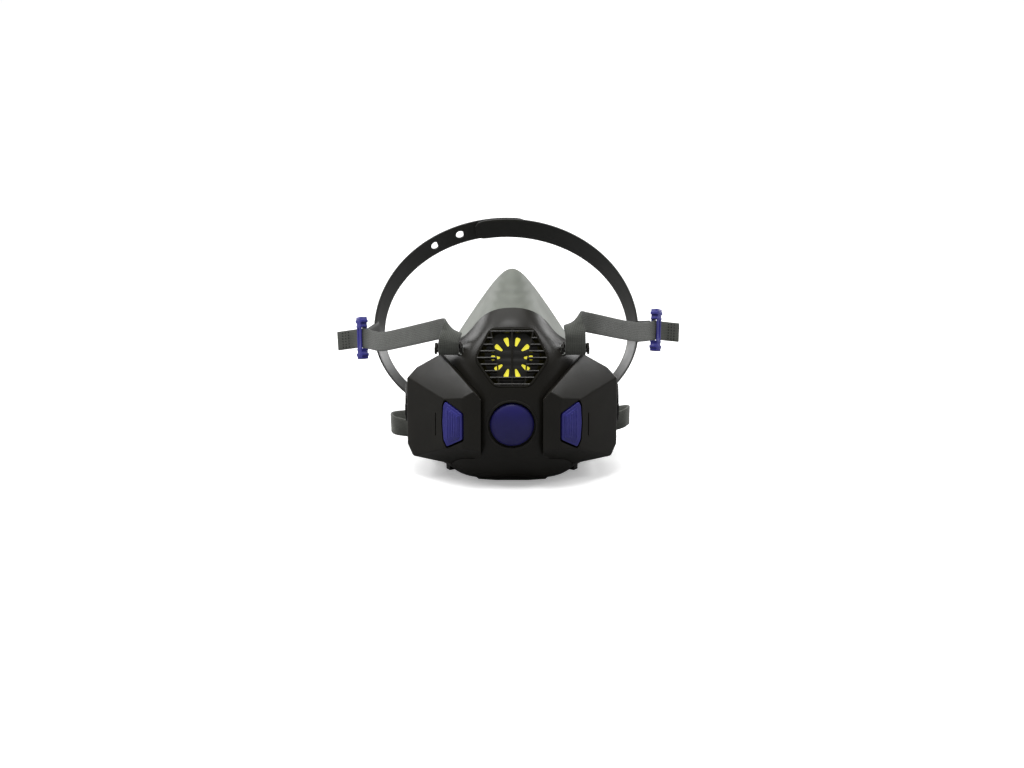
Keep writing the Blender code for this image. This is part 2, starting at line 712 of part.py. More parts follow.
def make_diaphragm():
    radius = DIAPHRAGM_RADIUS
    spider = baked(turned("diaphragm_spider", [(0, -3.2), (radius + 1.5, -3.2),
                                               (radius + 1.5, -4.4), (0, -4.4)], GRILLE_PLACE))
    petals = 10
    for i in range(petals):
        angle = 2 * math.pi * i / petals
        inner, outer = 5.6, radius - 1.6
        spread = 0.19
        window = [(inner * math.cos(angle - 0.9 * spread), inner * math.sin(angle - 0.9 * spread)),
                  (outer * math.cos(angle - spread), outer * math.sin(angle - spread)),
                  (outer * math.cos(angle + spread), outer * math.sin(angle + spread)),
                  (inner * math.cos(angle + 0.9 * spread), inner * math.sin(angle + 0.9 * spread))]
        cut(spider, prism("petal", [window], -6, -2, GRILLE_PLACE))
    finish(baked(spider), PLASTIC)
    diaphragm = turned("speaking_diaphragm", [(0, -4.4 - GAP), (radius - 3, -4.4 - GAP),
                                              (radius + 1.0, -4.5 - GAP), (radius + 1.0, -5.1 - GAP),
                                              (0, -5.1 - GAP)], GRILLE_PLACE)
    finish(baked(diaphragm), YELLOW)
    ring = turned("diaphragm_ring", tube_profile(radius - 1.5, radius + 1.5, -8.2, -5.1 - 2 * GAP),
                  GRILLE_PLACE, True, 32)
    finish(baked(ring), PLASTIC)


# ---------------------------------------------------------------- seal check mechanism
def make_seal_check():
    """The button, the stem and shutter it pushes back, its spring and the cup that guides it."""
    radius = BUTTON_RADIUS
    dome = [(0, 2.6), (5.0, 2.3), (9.0, 1.5), (12.0, 0.3), (radius - 0.4, -0.7), (radius, -1.4),
            (radius, -3.4), (radius - 1.4, -3.4), (radius - 1.4, -0.6 - 1.0), (3.6, -0.2),
            (0, -0.2)]
    button = finish(baked(turned("seal_check_button", dome, BUTTON_PLACE, steps=32)), BUTTON_BLUE)
    back = PLATE_FRONT - SHUTTER_FRONT
    stem_top = -0.2 - GAP
    profile = [(0, stem_top), (STEM_RADIUS, stem_top), (STEM_RADIUS, back + GAP), (0, back + GAP)]
    stem = finish(baked(turned("seal_check_stem", profile, BUTTON_PLACE, steps=16)), PLASTIC)
    cup_floor = -9.6
    rim = PLATE_FRONT - GUIDE_FRONT
    cup = [(GUIDE_RADIUS, rim), (GUIDE_RADIUS, cup_floor), (STEM_RADIUS + GAP, cup_floor),
           (STEM_RADIUS + GAP, cup_floor + 1.3), (radius + GAP, cup_floor + 1.3),
           (radius + GAP, rim)]
    finish(baked(turned("seal_check_guide", cup, BUTTON_PLACE, True, 32)), PLASTIC)
    spring_foot = cup_floor + 1.3 + GAP
    spring = helix("seal_check_spring", BUTTON_PLACE @ Matrix.Translation((0, 0, spring_foot * MM)),
                   4.2, 0.45, -0.9 - spring_foot, 4)
    finish(spring, STEEL)
    bow = [(5, 4.5), (11, 16), (27.5, 16), (27.5, -16), (11, -16), (5, -4.5)]
    outline = bow + [(-x, z) for x, z in reversed(bow)]
    outline = [(x, z * tall) for x, z in outline]
    shutter = prism("seal_check_shutter", [outline], back - SHUTTER_THICKNESS, back, BUTTON_PLACE)
    finish(shutter, PLASTIC)
    axis_empty("seal_check_axis", (0, PLATE_FRONT, BUTTON_HEIGHT * tall), [button, stem, shutter])


# ---------------------------------------------------------------- inner frame and valves
def make_inner_frame():
    half = [(0, 101), (12, 99), (24, 82), (33, 61), (34.5, 44), (31, 27), (22, 15.5), (0, 11.5)]
    half = [(x * wide, z * tall) for x, z in half]
    outline = half + [(-x, z) for x, z in reversed(half[1:-1])]
    frame = prism("inner_frame", [outline], -FRAME_BACK, -FRAME_FRONT, FRONT)
    openings = [(0, EXHALE_HEIGHT * tall, EXHALE_RADIUS), (0, SPEECH_HEIGHT * tall, SPEECH_RADIUS)]
    cut(frame, rods("frame_openings", openings, -40, -10, 24))
    holes = []
    for sign in (-1, 1):
        for height in INHALE_HEIGHTS:
            holes += port_holes(sign * INHALE_X, height * tall)
    cut(frame, rods("inhale_holes", holes, -40, -10))
    finish(baked(frame), PLASTIC)


def port_holes(x, z):
    """Four air holes around the hole that holds a valve flap's peg."""
    holes = [(x, z, 0.7 + GAP)]
    for i in range(4):
        angle = math.pi * (0.25 + i / 2)
        reach = INHALE_RADIUS * 0.62
        holes.append((x + reach * math.cos(angle), z + reach * math.sin(angle),
                      INHALE_RADIUS * 0.34))
    return holes


def make_valves():
    """Inhalation flaps behind the frame, and the exhalation seat and flap before it."""
    for side, sign in (("left", 1), ("right", -1)):
        for level, height in zip(("lower", "upper"), INHALE_HEIGHTS):
            place = front_frame(sign * INHALE_X, 0, height * tall)
            back = -FRAME_BACK - GAP
            peg = -FRAME_FRONT + 0.4
            profile = [(0, peg), (0.7, peg), (0.7, back), (INHALE_RADIUS + 0.6, back),
                       (INHALE_RADIUS + 0.6, back - 0.6), (0, back - 0.6)]
            flap = turned(f"{side}_{level}_inhale_flap", profile, place, steps=16)
            finish(baked(flap), RUBBER)
    place = front_frame(0, 0, EXHALE_HEIGHT * tall)
    face = -FRAME_FRONT + GAP
    seat = baked(turned("exhalation_valve_seat", [(0, face + 2), (10.2, face + 2), (10.2, face),
                                                  (0, face)], place))
    holes = [(0, EXHALE_HEIGHT * tall, 0.9 + GAP)]
    for i in range(6):
        angle = math.pi * i / 3
        holes.append((4.9 * math.cos(angle), EXHALE_HEIGHT * tall + 4.9 * math.sin(angle), 1.8))
    cut(seat, rods("seat_holes", holes, -40, -20))
    finish(baked(seat), PLASTIC)
    flap = [(0, face + 3.3), (5.0, face + 3.2), (9.4, face + 2.9), (9.4, face + 2 + GAP),
            (0.9, face + 2 + GAP), (0.9, face + 0.4), (0, face + 0.4)]
    finish(baked(turned("exhalation_flap", flap, place)), RUBBER)


def make_exhaust_cover():
    outline = [(-16, 5.0), (-24, -6.5), (-25, -15), (-21, -25.0), (-10, -27.4), (10, -27.4),
               (21, -25.0), (25, -15), (24, -6.5), (16, 5.0)]
    outline = [(x * wide, y) for x, y in outline]
    cover = prism("exhaust_cover", [outline], 0, 1.2, FLAT)
    for i in range(7):
        x = (i - 3) * 6.0
        cut(cover, block("exhaust_slot", (x - 1.2, -19.0, -2), (x + 1.2, -12.5, 4)))
    finish(baked(cover), PLASTIC)


# ---------------------------------------------------------------- facepiece
FACE_LOOPS = [
    [(0, -20, 102), (13, -20, 99), (25, -21, 83), (35.5, -22, 62), (38, -22, 40), (28, -22, 20),
     (0, -22, 12)],
    [(0, -13, 107), (11.5, -12, 103), (25.5, -12, 86), (39, -12, 62), (43, -12, 38),
     (31, -12, 15), (0, -12, 5.5)],
    [(0, 2, 117.5), (10.5, 3, 111.5), (26, 3, 90), (42, 3, 62), (46, 3, 36), (33, 3, 11.5), (0, 3, 2)],
    [(0, 18, 127), (9.5, 19, 120), (26, 24, 94), (44.5, 30, 62), (48, 33, 34), (34, 30, 9.5),
     (0, 24, 2)],
    [(0, 24, 128), (9.5, 26, 121), (27, 33, 94), (46.5, 40, 62), (50, 43, 34), (35, 38, 9.5),
     (0, 30, 3)],
    [(0, 30, 121), (7, 31, 114), (22.5, 38, 89), (41, 44, 61), (43, 46, 36), (30, 42, 16),
     (0, 34, 9)],
    [(0, 27, 111), (5, 29, 105), (17, 36, 83), (34, 42, 60), (36, 44, 40), (24, 40, 22),
     (0, 32, 16)],
]


def make_facepiece():
    face = skin_from_rows("facepiece", FACE_LOOPS)
    subdivide(face)
    thicken(face, SILICONE_WALL)
    finish(baked(face), SILICONE)


# ---------------------------------------------------------------- upper straps, lugs, buckles
def make_upper_lugs():
    """A bracket on each shoulder whose bar carries the upper strap's end loop."""
    x, y, z = LUG_BAR
    x = x * wide
    z = z * tall
    bar_half = LUG_HALF - LUG_ARM / 2
    lug = rod("left_upper_lug", LUG_BAR_RADIUS, (x - bar_half, y, z), (x + bar_half, y, z), 12)
    for start in (-LUG_HALF, LUG_HALF - LUG_ARM):
        join(lug, block("lug_arm", (x + start, y - 2, z - 2), (x + start + LUG_ARM, y + 10, z + 2.6)))
    join(lug, block("lug_bridge", (x - LUG_HALF + 0.4, y + 7.4, z - 1.6),
                    (x + LUG_HALF - 0.4, y + 9.8, z + 2.2)))
    lug = baked(lug)
    finish(lug, PLASTIC)
    mirrored(lug, "right_upper_lug", PLASTIC)


def loop_points(side):
    """The strap's end, folded around the lug's bar."""
    x, y, z = LUG_BAR
    x = side * x * wide
    z = z * tall
    turn = LUG_BAR_RADIUS + GAP + STRAP_THICKNESS / 2 + 0.2
    points = [(x, y + turn, z + 5.0, side, 0, 0)]
    for i in range(5):
        angle = math.pi * i / 4
        points.append((x, y + turn * math.cos(angle), z - turn * math.sin(angle), side, 0, 0))
    return points


def led_from_lug(side, points):
    """Route points that follow their lug, less and less towards the buckle."""
    x, _, z = LUG_BAR
    led = []
    for point in points:
        share = min(max((94.0 - point[1]) / 98.0, 0.0), 1.0)
        led.append((point[0] + side * x * (wide - 1) * share, point[1],
                    point[2] + z * (tall - 1) * share) + point[3:])
    return led


def make_upper_straps():
    left = [
        (39.5, -27.5, 89.5, 0.97, 0.0, 0.1), (39.3, -26.3, 95.5, 0.93, 0.12, 0.25),
        (38.3, -21.8, 100.2, 0.85, 0.3, 0.4), (40.0, -15.0, 101.0, 0.6, 0.35, 0.7),
        (45.5, -4.0, 97.0, 0.2, 0.2, 0.96), (55.5, 11.0, 91.0, 0.0, 0.1, 1.0),
        (70.0, 44.0, 79.3, -0.05, 0.15, 1.0), (82.0, 72.0, 70.0, -0.05, 0.25, 1.0),
        (90.5, 94.0, 64.5, -0.05, 0.3, 1.0), (96.0, 105.0, 62.5, -0.05, 0.3, 1.0),
        (101.0, 112.0, 60.0, -0.05, 0.3, 1.0), (112.0, 119.0, 57.0, -0.05, 0.3, 1.0)]
    right = [
        (-39.6, -27.5, 88.5, -0.95, 0.0, 0.15), (-39.0, -26.3, 92.0, -0.9, 0.12, 0.3),
        (-37.4, -21.8, 95.6, -0.85, 0.3, 0.4), (-38.8, -15.0, 96.2, -0.6, 0.35, 0.7),
        (-44.0, -4.0, 92.6, -0.2, 0.2, 0.96), (-52.0, 10.0, 87.0, 0.0, 0.1, 1.0),
        (-69.5, 42.0, 74.5, 0.05, 0.15, 1.0), (-85.0, 72.0, 63.5, 0.05, 0.25, 1.0),
        (-94.0, 94.0, 58.8, 0.05, 0.3, 1.0), (-100.0, 105.0, 57.0, 0.05, 0.3, 1.0),
        (-105.5, 112.0, 54.5, 0.05, 0.3, 1.0), (-117.0, 119.0, 51.0, 0.05, 0.3, 1.0)]
    return (strap("left_upper_strap", loop_points(1) + led_from_lug(1, left)),
            strap("right_upper_strap", loop_points(-1) + led_from_lug(-1, right)))


BUCKLES = {
    "left": ((96.0, 105.0, 62.5), (9.5, 15.0, -6.0)),
    "right": ((-100.0, 105.0, 57.0), (-10.5, 15.0, -6.0)),
}


def buckle_place(side):
    """Local X along the strap, local Y up across it."""
    centre, along = BUCKLES[side]
    return frame_at(centre, along, (0, 0.3, 1.0))


def make_buckles():
    buckles = []
    for side in BUCKLES:
        place = buckle_place(side)
        half_length = BUCKLE_LENGTH / 2
        half_height = BUCKLE_HEIGHT / 2
        half_thick = BUCKLE_THICKNESS / 2
        tee = half_height - 3.4
        outline = [(-half_length - 1.4, half_height), (half_length + 1.4, half_height),
                   (half_length + 1.4, tee), (half_length, tee), (half_length, -tee),
                   (half_length + 1.4, -tee), (half_length + 1.4, -half_height),
                   (-half_length - 1.4, -half_height), (-half_length - 1.4, -tee),
                   (-half_length, -tee), (-half_length, tee), (-half_length - 1.4, tee)]
        buckle = prism(f"{side}_buckle", [outline], -half_thick, half_thick, place)
        slot_half = STRAP_WIDTH / 2 + 1.0
        slot_thick = STRAP_THICKNESS / 2 + 1.1
        cut(buckle, block("strap_slot", (-8, -slot_half, -slot_thick), (8, slot_half, slot_thick),
                          place))
        buckle = baked(buckle)
        finish(buckle, BLUE)
        axis_empty(f"{side}_buckle_axis", BUCKLES[side][0], [buckle])
        buckles.append(buckle)
    return buckles


# ---------------------------------------------------------------- head cradle
def cradle_point(angle, layer):
    """Centre, edge direction and thickness direction of the band at an angle from +X."""
    lean = math.radians(CRADLE_LEAN)
    up = Vector((0, math.sin(lean), math.cos(lean)))
    rear = Vector((0, math.cos(lean), -math.sin(lean)))
    across = Vector((1, 0, 0))
    rise = CRADLE_RISE_ABOVE if math.sin(angle) > 0 else CRADLE_RISE_BELOW
    radial = across * math.cos(angle) + up * math.sin(angle)
    front_edge = (Vector(CRADLE_CENTRE) + across * (CRADLE_HALF_WIDTH * math.cos(angle))
                  + up * (rise * math.sin(angle)))
    high = max(math.sin(angle), 0.0)
    low = max(-math.sin(angle), 0.0)
    flare = math.radians(27 + 23 * high ** 2 + 8 * low ** 2)
    edge = (-rear * math.cos(flare) + radial * math.sin(flare)).normalized()
    outward = (radial * math.cos(flare) + rear * math.sin(flare)).normalized()
    return front_edge - edge * (BAND_WIDTH / 2) + outward * layer, edge, outward


BAND_START = math.radians(104.7)
BAND_END = math.radians(80.8 - 360.0)
PEG_X = (-16.0, 2.0)
HOLE_X = (-37.0, -54.5)


def band_layer(angle):
    share = (BAND_START - angle) / (BAND_START - BAND_END)
    return (2 * share - 1) * BAND_LAYER_GAP


def angle_at(x):
    return math.acos((x - CRADLE_CENTRE[0]) / CRADLE_HALF_WIDTH)


def make_cradle():
    """One band whose ends overlap at the top, held by two pegs, with two free holes."""
    count = 56
    stations = []
    for i in range(count + 1):
        angle = BAND_START + (BAND_END - BAND_START) * i / count
        centre, edge, outward = cradle_point(angle, band_layer(angle))
        width = BAND_WIDTH
        if i in (0, count):
            width = BAND_WIDTH * 0.6
        stations.append((centre, edge, width))
    band = ribbon("head_cradle", stations, BAND_THICKNESS)
    for x in HOLE_X + PEG_X:
        angle = angle_at(x) - 2 * math.pi
        centre, edge, outward = cradle_point(angle, band_layer(angle))
        start = centre - outward * (BAND_THICKNESS / 2 + 0.15)
        cut(band, rod("band_hole", BAND_HOLE_RADIUS, start, centre + outward * 3, 16))
    for x in PEG_X:
        angle = angle_at(x)
        centre, edge, outward = cradle_point(angle, band_layer(angle))
        join(band, rod("band_peg", BAND_HOLE_RADIUS - GAP, centre, centre + outward * 3.2, 16))
    for side in BUCKLES:
        join(band, cradle_tab(side))
    return finish(baked(band), PLASTIC)


def cradle_tab(side):
    """The arm of the band that reaches forward to a buckle."""
    sign = 1 if side == "left" else -1
    angle = 0.0 if side == "left" else -math.pi
    centre, edge, outward = cradle_point(angle, band_layer(angle))
    place = buckle_place(side)
    behind = -sign * (BUCKLE_THICKNESS / 2 + GAP + 1.7) * MM
    near = (place @ Vector((0.0, 0.0, behind))) / MM
    stations = []
    for i in range(6):
        share = i / 5
        point = centre.lerp(near, share)
        stations.append((point, (0, 0.3, 1.0), 15.0 - 2.0 * share))
    return ribbon("cradle_tab", stations, 1.6)


# ---------------------------------------------------------------- neck straps
def make_neck():
    """Drop-down neck straps from the chin's lugs to a two-part clip behind."""
    routes = {
        "left": [(30.0, -8.0, 2.8, 0.83, -0.55, 0), (35.5, 0.5, 2.8, 0.83, -0.55, 0),
                 (43.0, 11.5, 3.2, 0.83, -0.5, 0.1), (50.5, 22.0, 4.8, 0.8, -0.5, 0.15),
                 (57.0, 32.5, 9.0, 0.6, -0.5, 0.55), (64.0, 40.0, 15.5, 0.3, -0.3, 0.9),
                 (74.0, 44.5, 19.8, 0.1, 0.0, 1.0), (75.0, 54.0, 19.0, 0.0, 0.0, 1.0),
                 (60.0, 66.0, 13.0, 0.0, 0.1, 1.0), (36.0, 70.0, 9.0, 0.0, 0.0, 1.0),
                 (17.0, 71.0, 7.6, 0.0, 0.0, 1.0)],
        "right": [(-30.0, -8.0, 2.8, -0.83, -0.55, 0), (-35.5, 0.5, 2.8, -0.83, -0.55, 0),
                  (-43.0, 11.5, 3.2, -0.83, -0.5, 0.1), (-50.5, 22.0, 4.8, -0.8, -0.5, 0.15),
                  (-57.0, 32.5, 8.0, -0.6, -0.5, 0.55), (-64.5, 40.0, 12.5, -0.3, -0.3, 0.9),
                  (-76.5, 44.5, 14.4, -0.1, 0.0, 1.0), (-77.0, 54.0, 14.8, 0.0, 0.0, 1.0),
                  (-60.0, 66.0, 12.0, 0.0, 0.1, 1.0), (-36.0, 70.0, 9.0, 0.0, 0.0, 1.0),
                  (-17.0, 71.0, 7.6, 0.0, 0.0, 1.0)],
    }
    for side, route in routes.items():
        strap(f"{side}_neck_strap", route, 3)
        sign = 1 if side == "left" else -1
        start = Vector(route[0][:3]).lerp(Vector(route[1][:3]), 0.62)
        place = frame_at(start, (sign * 0.545, 0.84, 0), (-0.84 * sign, 0.545, 0))
        half = STRAP_WIDTH / 2
        lug = block(f"{side}_neck_lug", (-2.2, -half - 2.2, -2.0), (2.2, half + 2.2, 2.0), place)
        slot = STRAP_THICKNESS / 2 + GAP
        cut(lug, block("neck_slot", (-6, -half - GAP, -slot), (6, half + GAP, slot), place))
        finish(baked(lug), PLASTIC)
    clip_half = 7.0
    hook = block("neck_clip_hook", (1.0, 69.0, 7.6 - clip_half), (16.2, 73.0, 7.6 + clip_half))
    cut(hook, block("hook_throat", (-1, 70.6, -3), (6.5, 71.6, 20)))
    finish(baked(hook), PLASTIC)
    loop = block("neck_clip_loop", (-16.2, 69.0, 7.6 - clip_half),
                 (-0.4, 73.0, 7.6 + clip_half))
    cut(loop, block("loop_window", (-9, 60, 3.2), (-3.0, 80, 12)))
    finish(baked(loop), PLASTIC)


make_wings()
make_wing_backs()
make_release()
make_sockets()
make_shell()
make_grille()
make_diaphragm()
make_seal_check()
make_inner_frame()
make_valves()
make_exhaust_cover()
make_facepiece()
make_upper_lugs()
harness = list(make_upper_straps())
make_buckles()
harness.append(make_cradle())
make_neck()
axis_empty("harness_axis", (0, LUG_BAR[1], LUG_BAR[2] * tall), harness)
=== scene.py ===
"""A reusable half-mask respirator with a speaking grille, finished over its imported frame.

Lengths are written in millimetres and turned into metres as each mesh is made.
+Z is up, the mask faces -Y, and the wearer's left is +X.
"""
from math import acos, cos, pi, radians, sin, sqrt, tau

import bmesh
import bpy
from mathutils import Matrix, Vector


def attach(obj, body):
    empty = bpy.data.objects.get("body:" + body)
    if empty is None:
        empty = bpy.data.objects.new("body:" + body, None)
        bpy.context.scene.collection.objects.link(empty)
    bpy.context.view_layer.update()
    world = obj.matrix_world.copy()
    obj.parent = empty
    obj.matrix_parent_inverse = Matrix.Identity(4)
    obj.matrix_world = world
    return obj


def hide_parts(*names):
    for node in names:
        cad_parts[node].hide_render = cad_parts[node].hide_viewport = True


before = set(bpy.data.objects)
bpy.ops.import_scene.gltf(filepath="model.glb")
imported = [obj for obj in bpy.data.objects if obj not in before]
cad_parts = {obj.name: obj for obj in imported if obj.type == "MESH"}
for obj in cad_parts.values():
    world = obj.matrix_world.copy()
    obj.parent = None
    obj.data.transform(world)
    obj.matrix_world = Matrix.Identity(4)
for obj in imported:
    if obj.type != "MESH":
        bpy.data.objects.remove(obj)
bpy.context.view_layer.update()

# -------- studio
# A white table top in a pale room, lit by soft boxes at both sides, above and behind, and by
# a weak wide sky. The camera looks at the mask from a little above.
studio = bpy.context.scene
MM = 0.001
SKY_LIGHT = 1.5
SKY_SPREAD = radians(70)
SKY_TURN = (radians(-14), radians(-10), 0)
ROOM_LIGHT = 0.22
TABLE_HALF = 7.0
TABLE_DROP = 0.0004
CAMERA_AIM = Vector((0, -0.0131, 0.0589))
CAMERA_RISE = radians(16)
CAMERA_DISTANCE = 1.85
LENS = 103.4


def linked(name, data):
    """A new object in the scene."""
    item = bpy.data.objects.new(name, data)
    studio.collection.objects.link(item)
    return item


def soft_box(name, place, target, size, power):
    """A square area light that faces a point."""
    lamp = bpy.data.lights.new(name, "AREA")
    lamp.shape = "RECTANGLE"
    lamp.size = size[0]
    lamp.size_y = size[1]
    lamp.energy = power
    item = linked(name, lamp)
    item.location = place
    item.rotation_mode = "QUATERNION"
    item.rotation_quaternion = (Vector(target) - Vector(place)).to_track_quat("-Z", "Y")


MIDDLE = (0, 0, 0.06)
HARNESS_MIDDLE = (0, 0.1, 0.06)
soft_box("left_key", (-1.05, -0.1, 0.95), MIDDLE, (0.6, 0.55), 8)
soft_box("right_key", (1.05, -0.05, 0.95), MIDDLE, (0.55, 0.5), 6.5)
soft_box("top_box", (-0.1, -0.35, 1.3), MIDDLE, (0.5, 0.35), 5)
soft_box("left_back_box", (-0.95, 1, 0.3), HARNESS_MIDDLE, (0.5, 0.6), 5)
soft_box("right_back_box", (0.95, 1, 0.3), HARNESS_MIDDLE, (0.5, 0.6), 5)

sky_lamp = bpy.data.lights.new("overhead_sky", "SUN")
sky_lamp.energy = SKY_LIGHT
sky_lamp.angle = SKY_SPREAD
linked("overhead_sky", sky_lamp).rotation_euler = SKY_TURN


def new_material(name):
    """A node material with its tree and its shader."""
    material = bpy.data.materials.new(name)
    material.use_nodes = True
    tree = material.node_tree
    return material, tree, tree.nodes["Principled BSDF"]


def feed(tree, value, socket):
    """Connect a socket, or set a plain value."""
    if isinstance(value, bpy.types.NodeSocket):
        tree.links.new(value, socket)
    else:
        socket.default_value = value


def tune(node, **values):
    """Feed a node's inputs, named with an underscore for each space."""
    for label, value in values.items():
        feed(node.id_data, value, node.inputs[label.replace("_", " ")])


room = bpy.data.worlds.new("room")
studio.world = room
room.use_nodes = True
tune(room.node_tree.nodes["Background"], Color=(1, 1, 1, 1), Strength=ROOM_LIGHT)
studio.view_settings.view_transform = "Standard"

floor_mesh = bpy.data.meshes.new("table_top")
floor_mesh.from_pydata([(-TABLE_HALF, -TABLE_HALF, 0), (TABLE_HALF, -TABLE_HALF, 0),
                        (TABLE_HALF, TABLE_HALF, 0), (-TABLE_HALF, TABLE_HALF, 0)], [], [(0, 1, 2, 3)])
table_top = linked("table_top", floor_mesh)
table_top.location.z = -TABLE_DROP
white_top, top_tree, top_shader = new_material("white_top")
tune(top_shader, Base_Color=(0.93, 0.93, 0.93, 1), Roughness=0.9, Specular_IOR_Level=0.1,
     Emission_Color=(1, 1, 1, 1), Emission_Strength=0.32)
grey_bounce = top_tree.nodes.new("ShaderNodeBsdfDiffuse")
tune(grey_bounce, Color=(0.25, 0.25, 0.25, 1))
seen_rays = top_tree.nodes.new("ShaderNodeLightPath")
seen_mix = top_tree.nodes.new("ShaderNodeMixShader")
top_tree.links.new(seen_rays.outputs["Is Camera Ray"], seen_mix.inputs[0])
top_tree.links.new(grey_bounce.outputs["BSDF"], seen_mix.inputs[1])
top_tree.links.new(top_shader.outputs["BSDF"], seen_mix.inputs[2])
top_tree.links.new(seen_mix.outputs["Shader"], top_tree.nodes["Material Output"].inputs["Surface"])
floor_mesh.materials.append(white_top)

camera_data = bpy.data.cameras.new("camera")
camera = linked("camera", camera_data)
studio.camera = camera
back = Vector((0, -cos(CAMERA_RISE), sin(CAMERA_RISE)))
camera.location = CAMERA_AIM + back * CAMERA_DISTANCE
camera.rotation_mode = "QUATERNION"
camera.rotation_quaternion = (-back).to_track_quat("-Z", "Y")
camera_data.sensor_width = 36.0
camera_data.lens = LENS
camera_data.clip_start = 0.05

# -------- facepiece
# The soft seal against the face, moulded in one piece from grey-green liquid silicone.
# It is thin and matt, with shallow ripples over the nose where it is meant to flex.
FACE_LOOPS = [
    [(0, -20, 102), (13, -20, 99), (25, -21, 83), (35.5, -22, 62), (38, -22, 40), (28, -22, 20),
     (0, -22, 12)],
    [(0, -13, 107), (11.5, -12, 103), (25.5, -12, 86), (39, -12, 62), (43, -12, 38),
     (31, -12, 15), (0, -12, 5.5)],
    [(0, 2, 117.5), (10.5, 3, 111.5), (26, 3, 90), (42, 3, 62), (46, 3, 36), (33, 3, 11.5), (0, 3, 2)],
    [(0, 18, 127), (9.5, 19, 120), (26, 24, 94), (44.5, 30, 62), (48, 33, 34), (34, 30, 9.5),
     (0, 24, 2)],
    [(0, 24, 128), (9.5, 26, 121), (27, 33, 94), (46.5, 40, 62), (50, 43, 34), (35, 38, 9.5),
     (0, 30, 3)],
    [(0, 30, 121), (7, 31, 114), (22.5, 38, 89), (41, 44, 61), (43, 46, 36), (30, 42, 16),
     (0, 34, 9)],
    [(0, 27, 111), (5, 29, 105), (17, 36, 83), (34, 42, 60), (36, 44, 40), (24, 40, 22),
     (0, 32, 16)],
]
SILICONE_WALL = 1.8
RIPPLE_DEPTH = 0.45
RIPPLE_PITCH = 4.6
RIPPLE_LOW = 103.0
RIPPLE_HIGH = 122.0
RIPPLE_BACK = 0.021


def settled(item):
    """The object with all its modifiers made into plain mesh."""
    bpy.context.view_layer.update()
    graph = bpy.context.evaluated_depsgraph_get()
    mesh = bpy.data.meshes.new_from_object(item.evaluated_get(graph))
    mesh.transform(item.matrix_world)
    name = item.name
    bpy.data.objects.remove(item)
    mesh.name = name
    return linked(name, mesh)


def smoothed(item, angle=32):
    """Smooth shading that keeps edges sharper than the angle."""
    item.data.shade_smooth()
    item.data.set_sharp_from_angle(angle=radians(angle))
    return item


def link_bmesh(name, bm):
    mesh = bpy.data.meshes.new(name)
    bm.to_mesh(mesh)
    bm.free()
    return linked(name, mesh)


def changed(item, kind, **settings):
    """The object with one more modifier, its settings given by name."""
    modifier = item.modifiers.new(kind.lower(), kind)
    for key, value in settings.items():
        setattr(modifier, key, value)
    return item


def half_skin(name, rows, levels):
    """A smooth surface through rows of points for one half, mirrored across X = 0."""
    bm = bmesh.new()
    grid = [[bm.verts.new(Vector(point) * MM) for point in row] for row in rows]
    for low, high in zip(grid, grid[1:]):
        for i in range(len(low) - 1):
            bm.faces.new((low[i], low[i + 1], high[i + 1], high[i]))
    item = changed(link_bmesh(name, bm), "MIRROR", merge_threshold=0.00001)
    return settled(changed(item, "SUBSURF", levels=levels, render_levels=levels))


def walled(item, wall, rim_round):
    """Give a skin its wall inwards and round the edges of its rim."""
    changed(item, "SOLIDIFY", thickness=wall * MM, offset=-1)
    changed(item, "BEVEL", width=rim_round * MM, segments=3, limit_method="ANGLE",
            angle_limit=radians(60))
    return settled(item)


facepiece = half_skin("facepiece_skin", FACE_LOOPS, 3)
for vertex in facepiece.data.vertices:
    height = vertex.co.z / MM
    share = (height - RIPPLE_LOW) / (RIPPLE_HIGH - RIPPLE_LOW)
    if 0.0 < share < 1.0 and vertex.co.y < RIPPLE_BACK:
        wave = sin(2 * pi * height / RIPPLE_PITCH) * sin(pi * share)
        vertex.co += vertex.normal * (wave * RIPPLE_DEPTH * MM)
facepiece = smoothed(walled(facepiece, SILICONE_WALL, 0.6), 50)


def add_node(tree, kind, **settings):
    """A node whose settings and input values are given by name."""
    node = tree.nodes.new(kind)
    for key, value in settings.items():
        if key in node.bl_rna.properties:
            setattr(node, key, value)
        else:
            tune(node, **{key: value})
    return node


def calc(tree, operation, first, second=0, third=0):
    """A maths node's result."""
    node = tree.nodes.new("ShaderNodeMath")
    node.operation = operation
    for value, socket in zip((first, second, third), node.inputs):
        feed(tree, value, socket)
    return node.outputs[0]


def ramp(tree, value, low, high, to_low=0, to_high=1):
    """The value stretched from one range to another and held at its ends."""
    node = tree.nodes.new("ShaderNodeMapRange")
    for socket, amount in zip(node.inputs, (value, low, high, to_low, to_high)):
        feed(tree, amount, socket)
    return node.outputs[0]


def mixed(tree, share, first, second):
    """A blend of two colours."""
    node = tree.nodes.new("ShaderNodeMix")
    node.data_type = "RGBA"
    feed(tree, share, node.inputs[0])
    feed(tree, first, node.inputs[6])
    feed(tree, second, node.inputs[7])
    return node.outputs[2]


def new_group(name, inputs, outputs):
    """A shader node group with float inputs, as name to value, and float outputs."""
    tree = bpy.data.node_groups.new(name, "ShaderNodeTree")
    for label, value in inputs.items():
        socket = tree.interface.new_socket(label, in_out="INPUT", socket_type="NodeSocketFloat")
        socket.default_value = value
    for label in outputs:
        tree.interface.new_socket(label, in_out="OUTPUT", socket_type="NodeSocketFloat")
    entry = tree.nodes.new("NodeGroupInput")
    leave = tree.nodes.new("NodeGroupOutput")
    return tree, entry, leave


def object_noise(tree, scale, **settings):
    """Noise fixed to the object."""
    place = tree.nodes.new("ShaderNodeTexCoord").outputs["Object"]
    return add_node(tree, "ShaderNodeTexNoise", Vector=place, Scale=scale, **settings).outputs["Fac"]


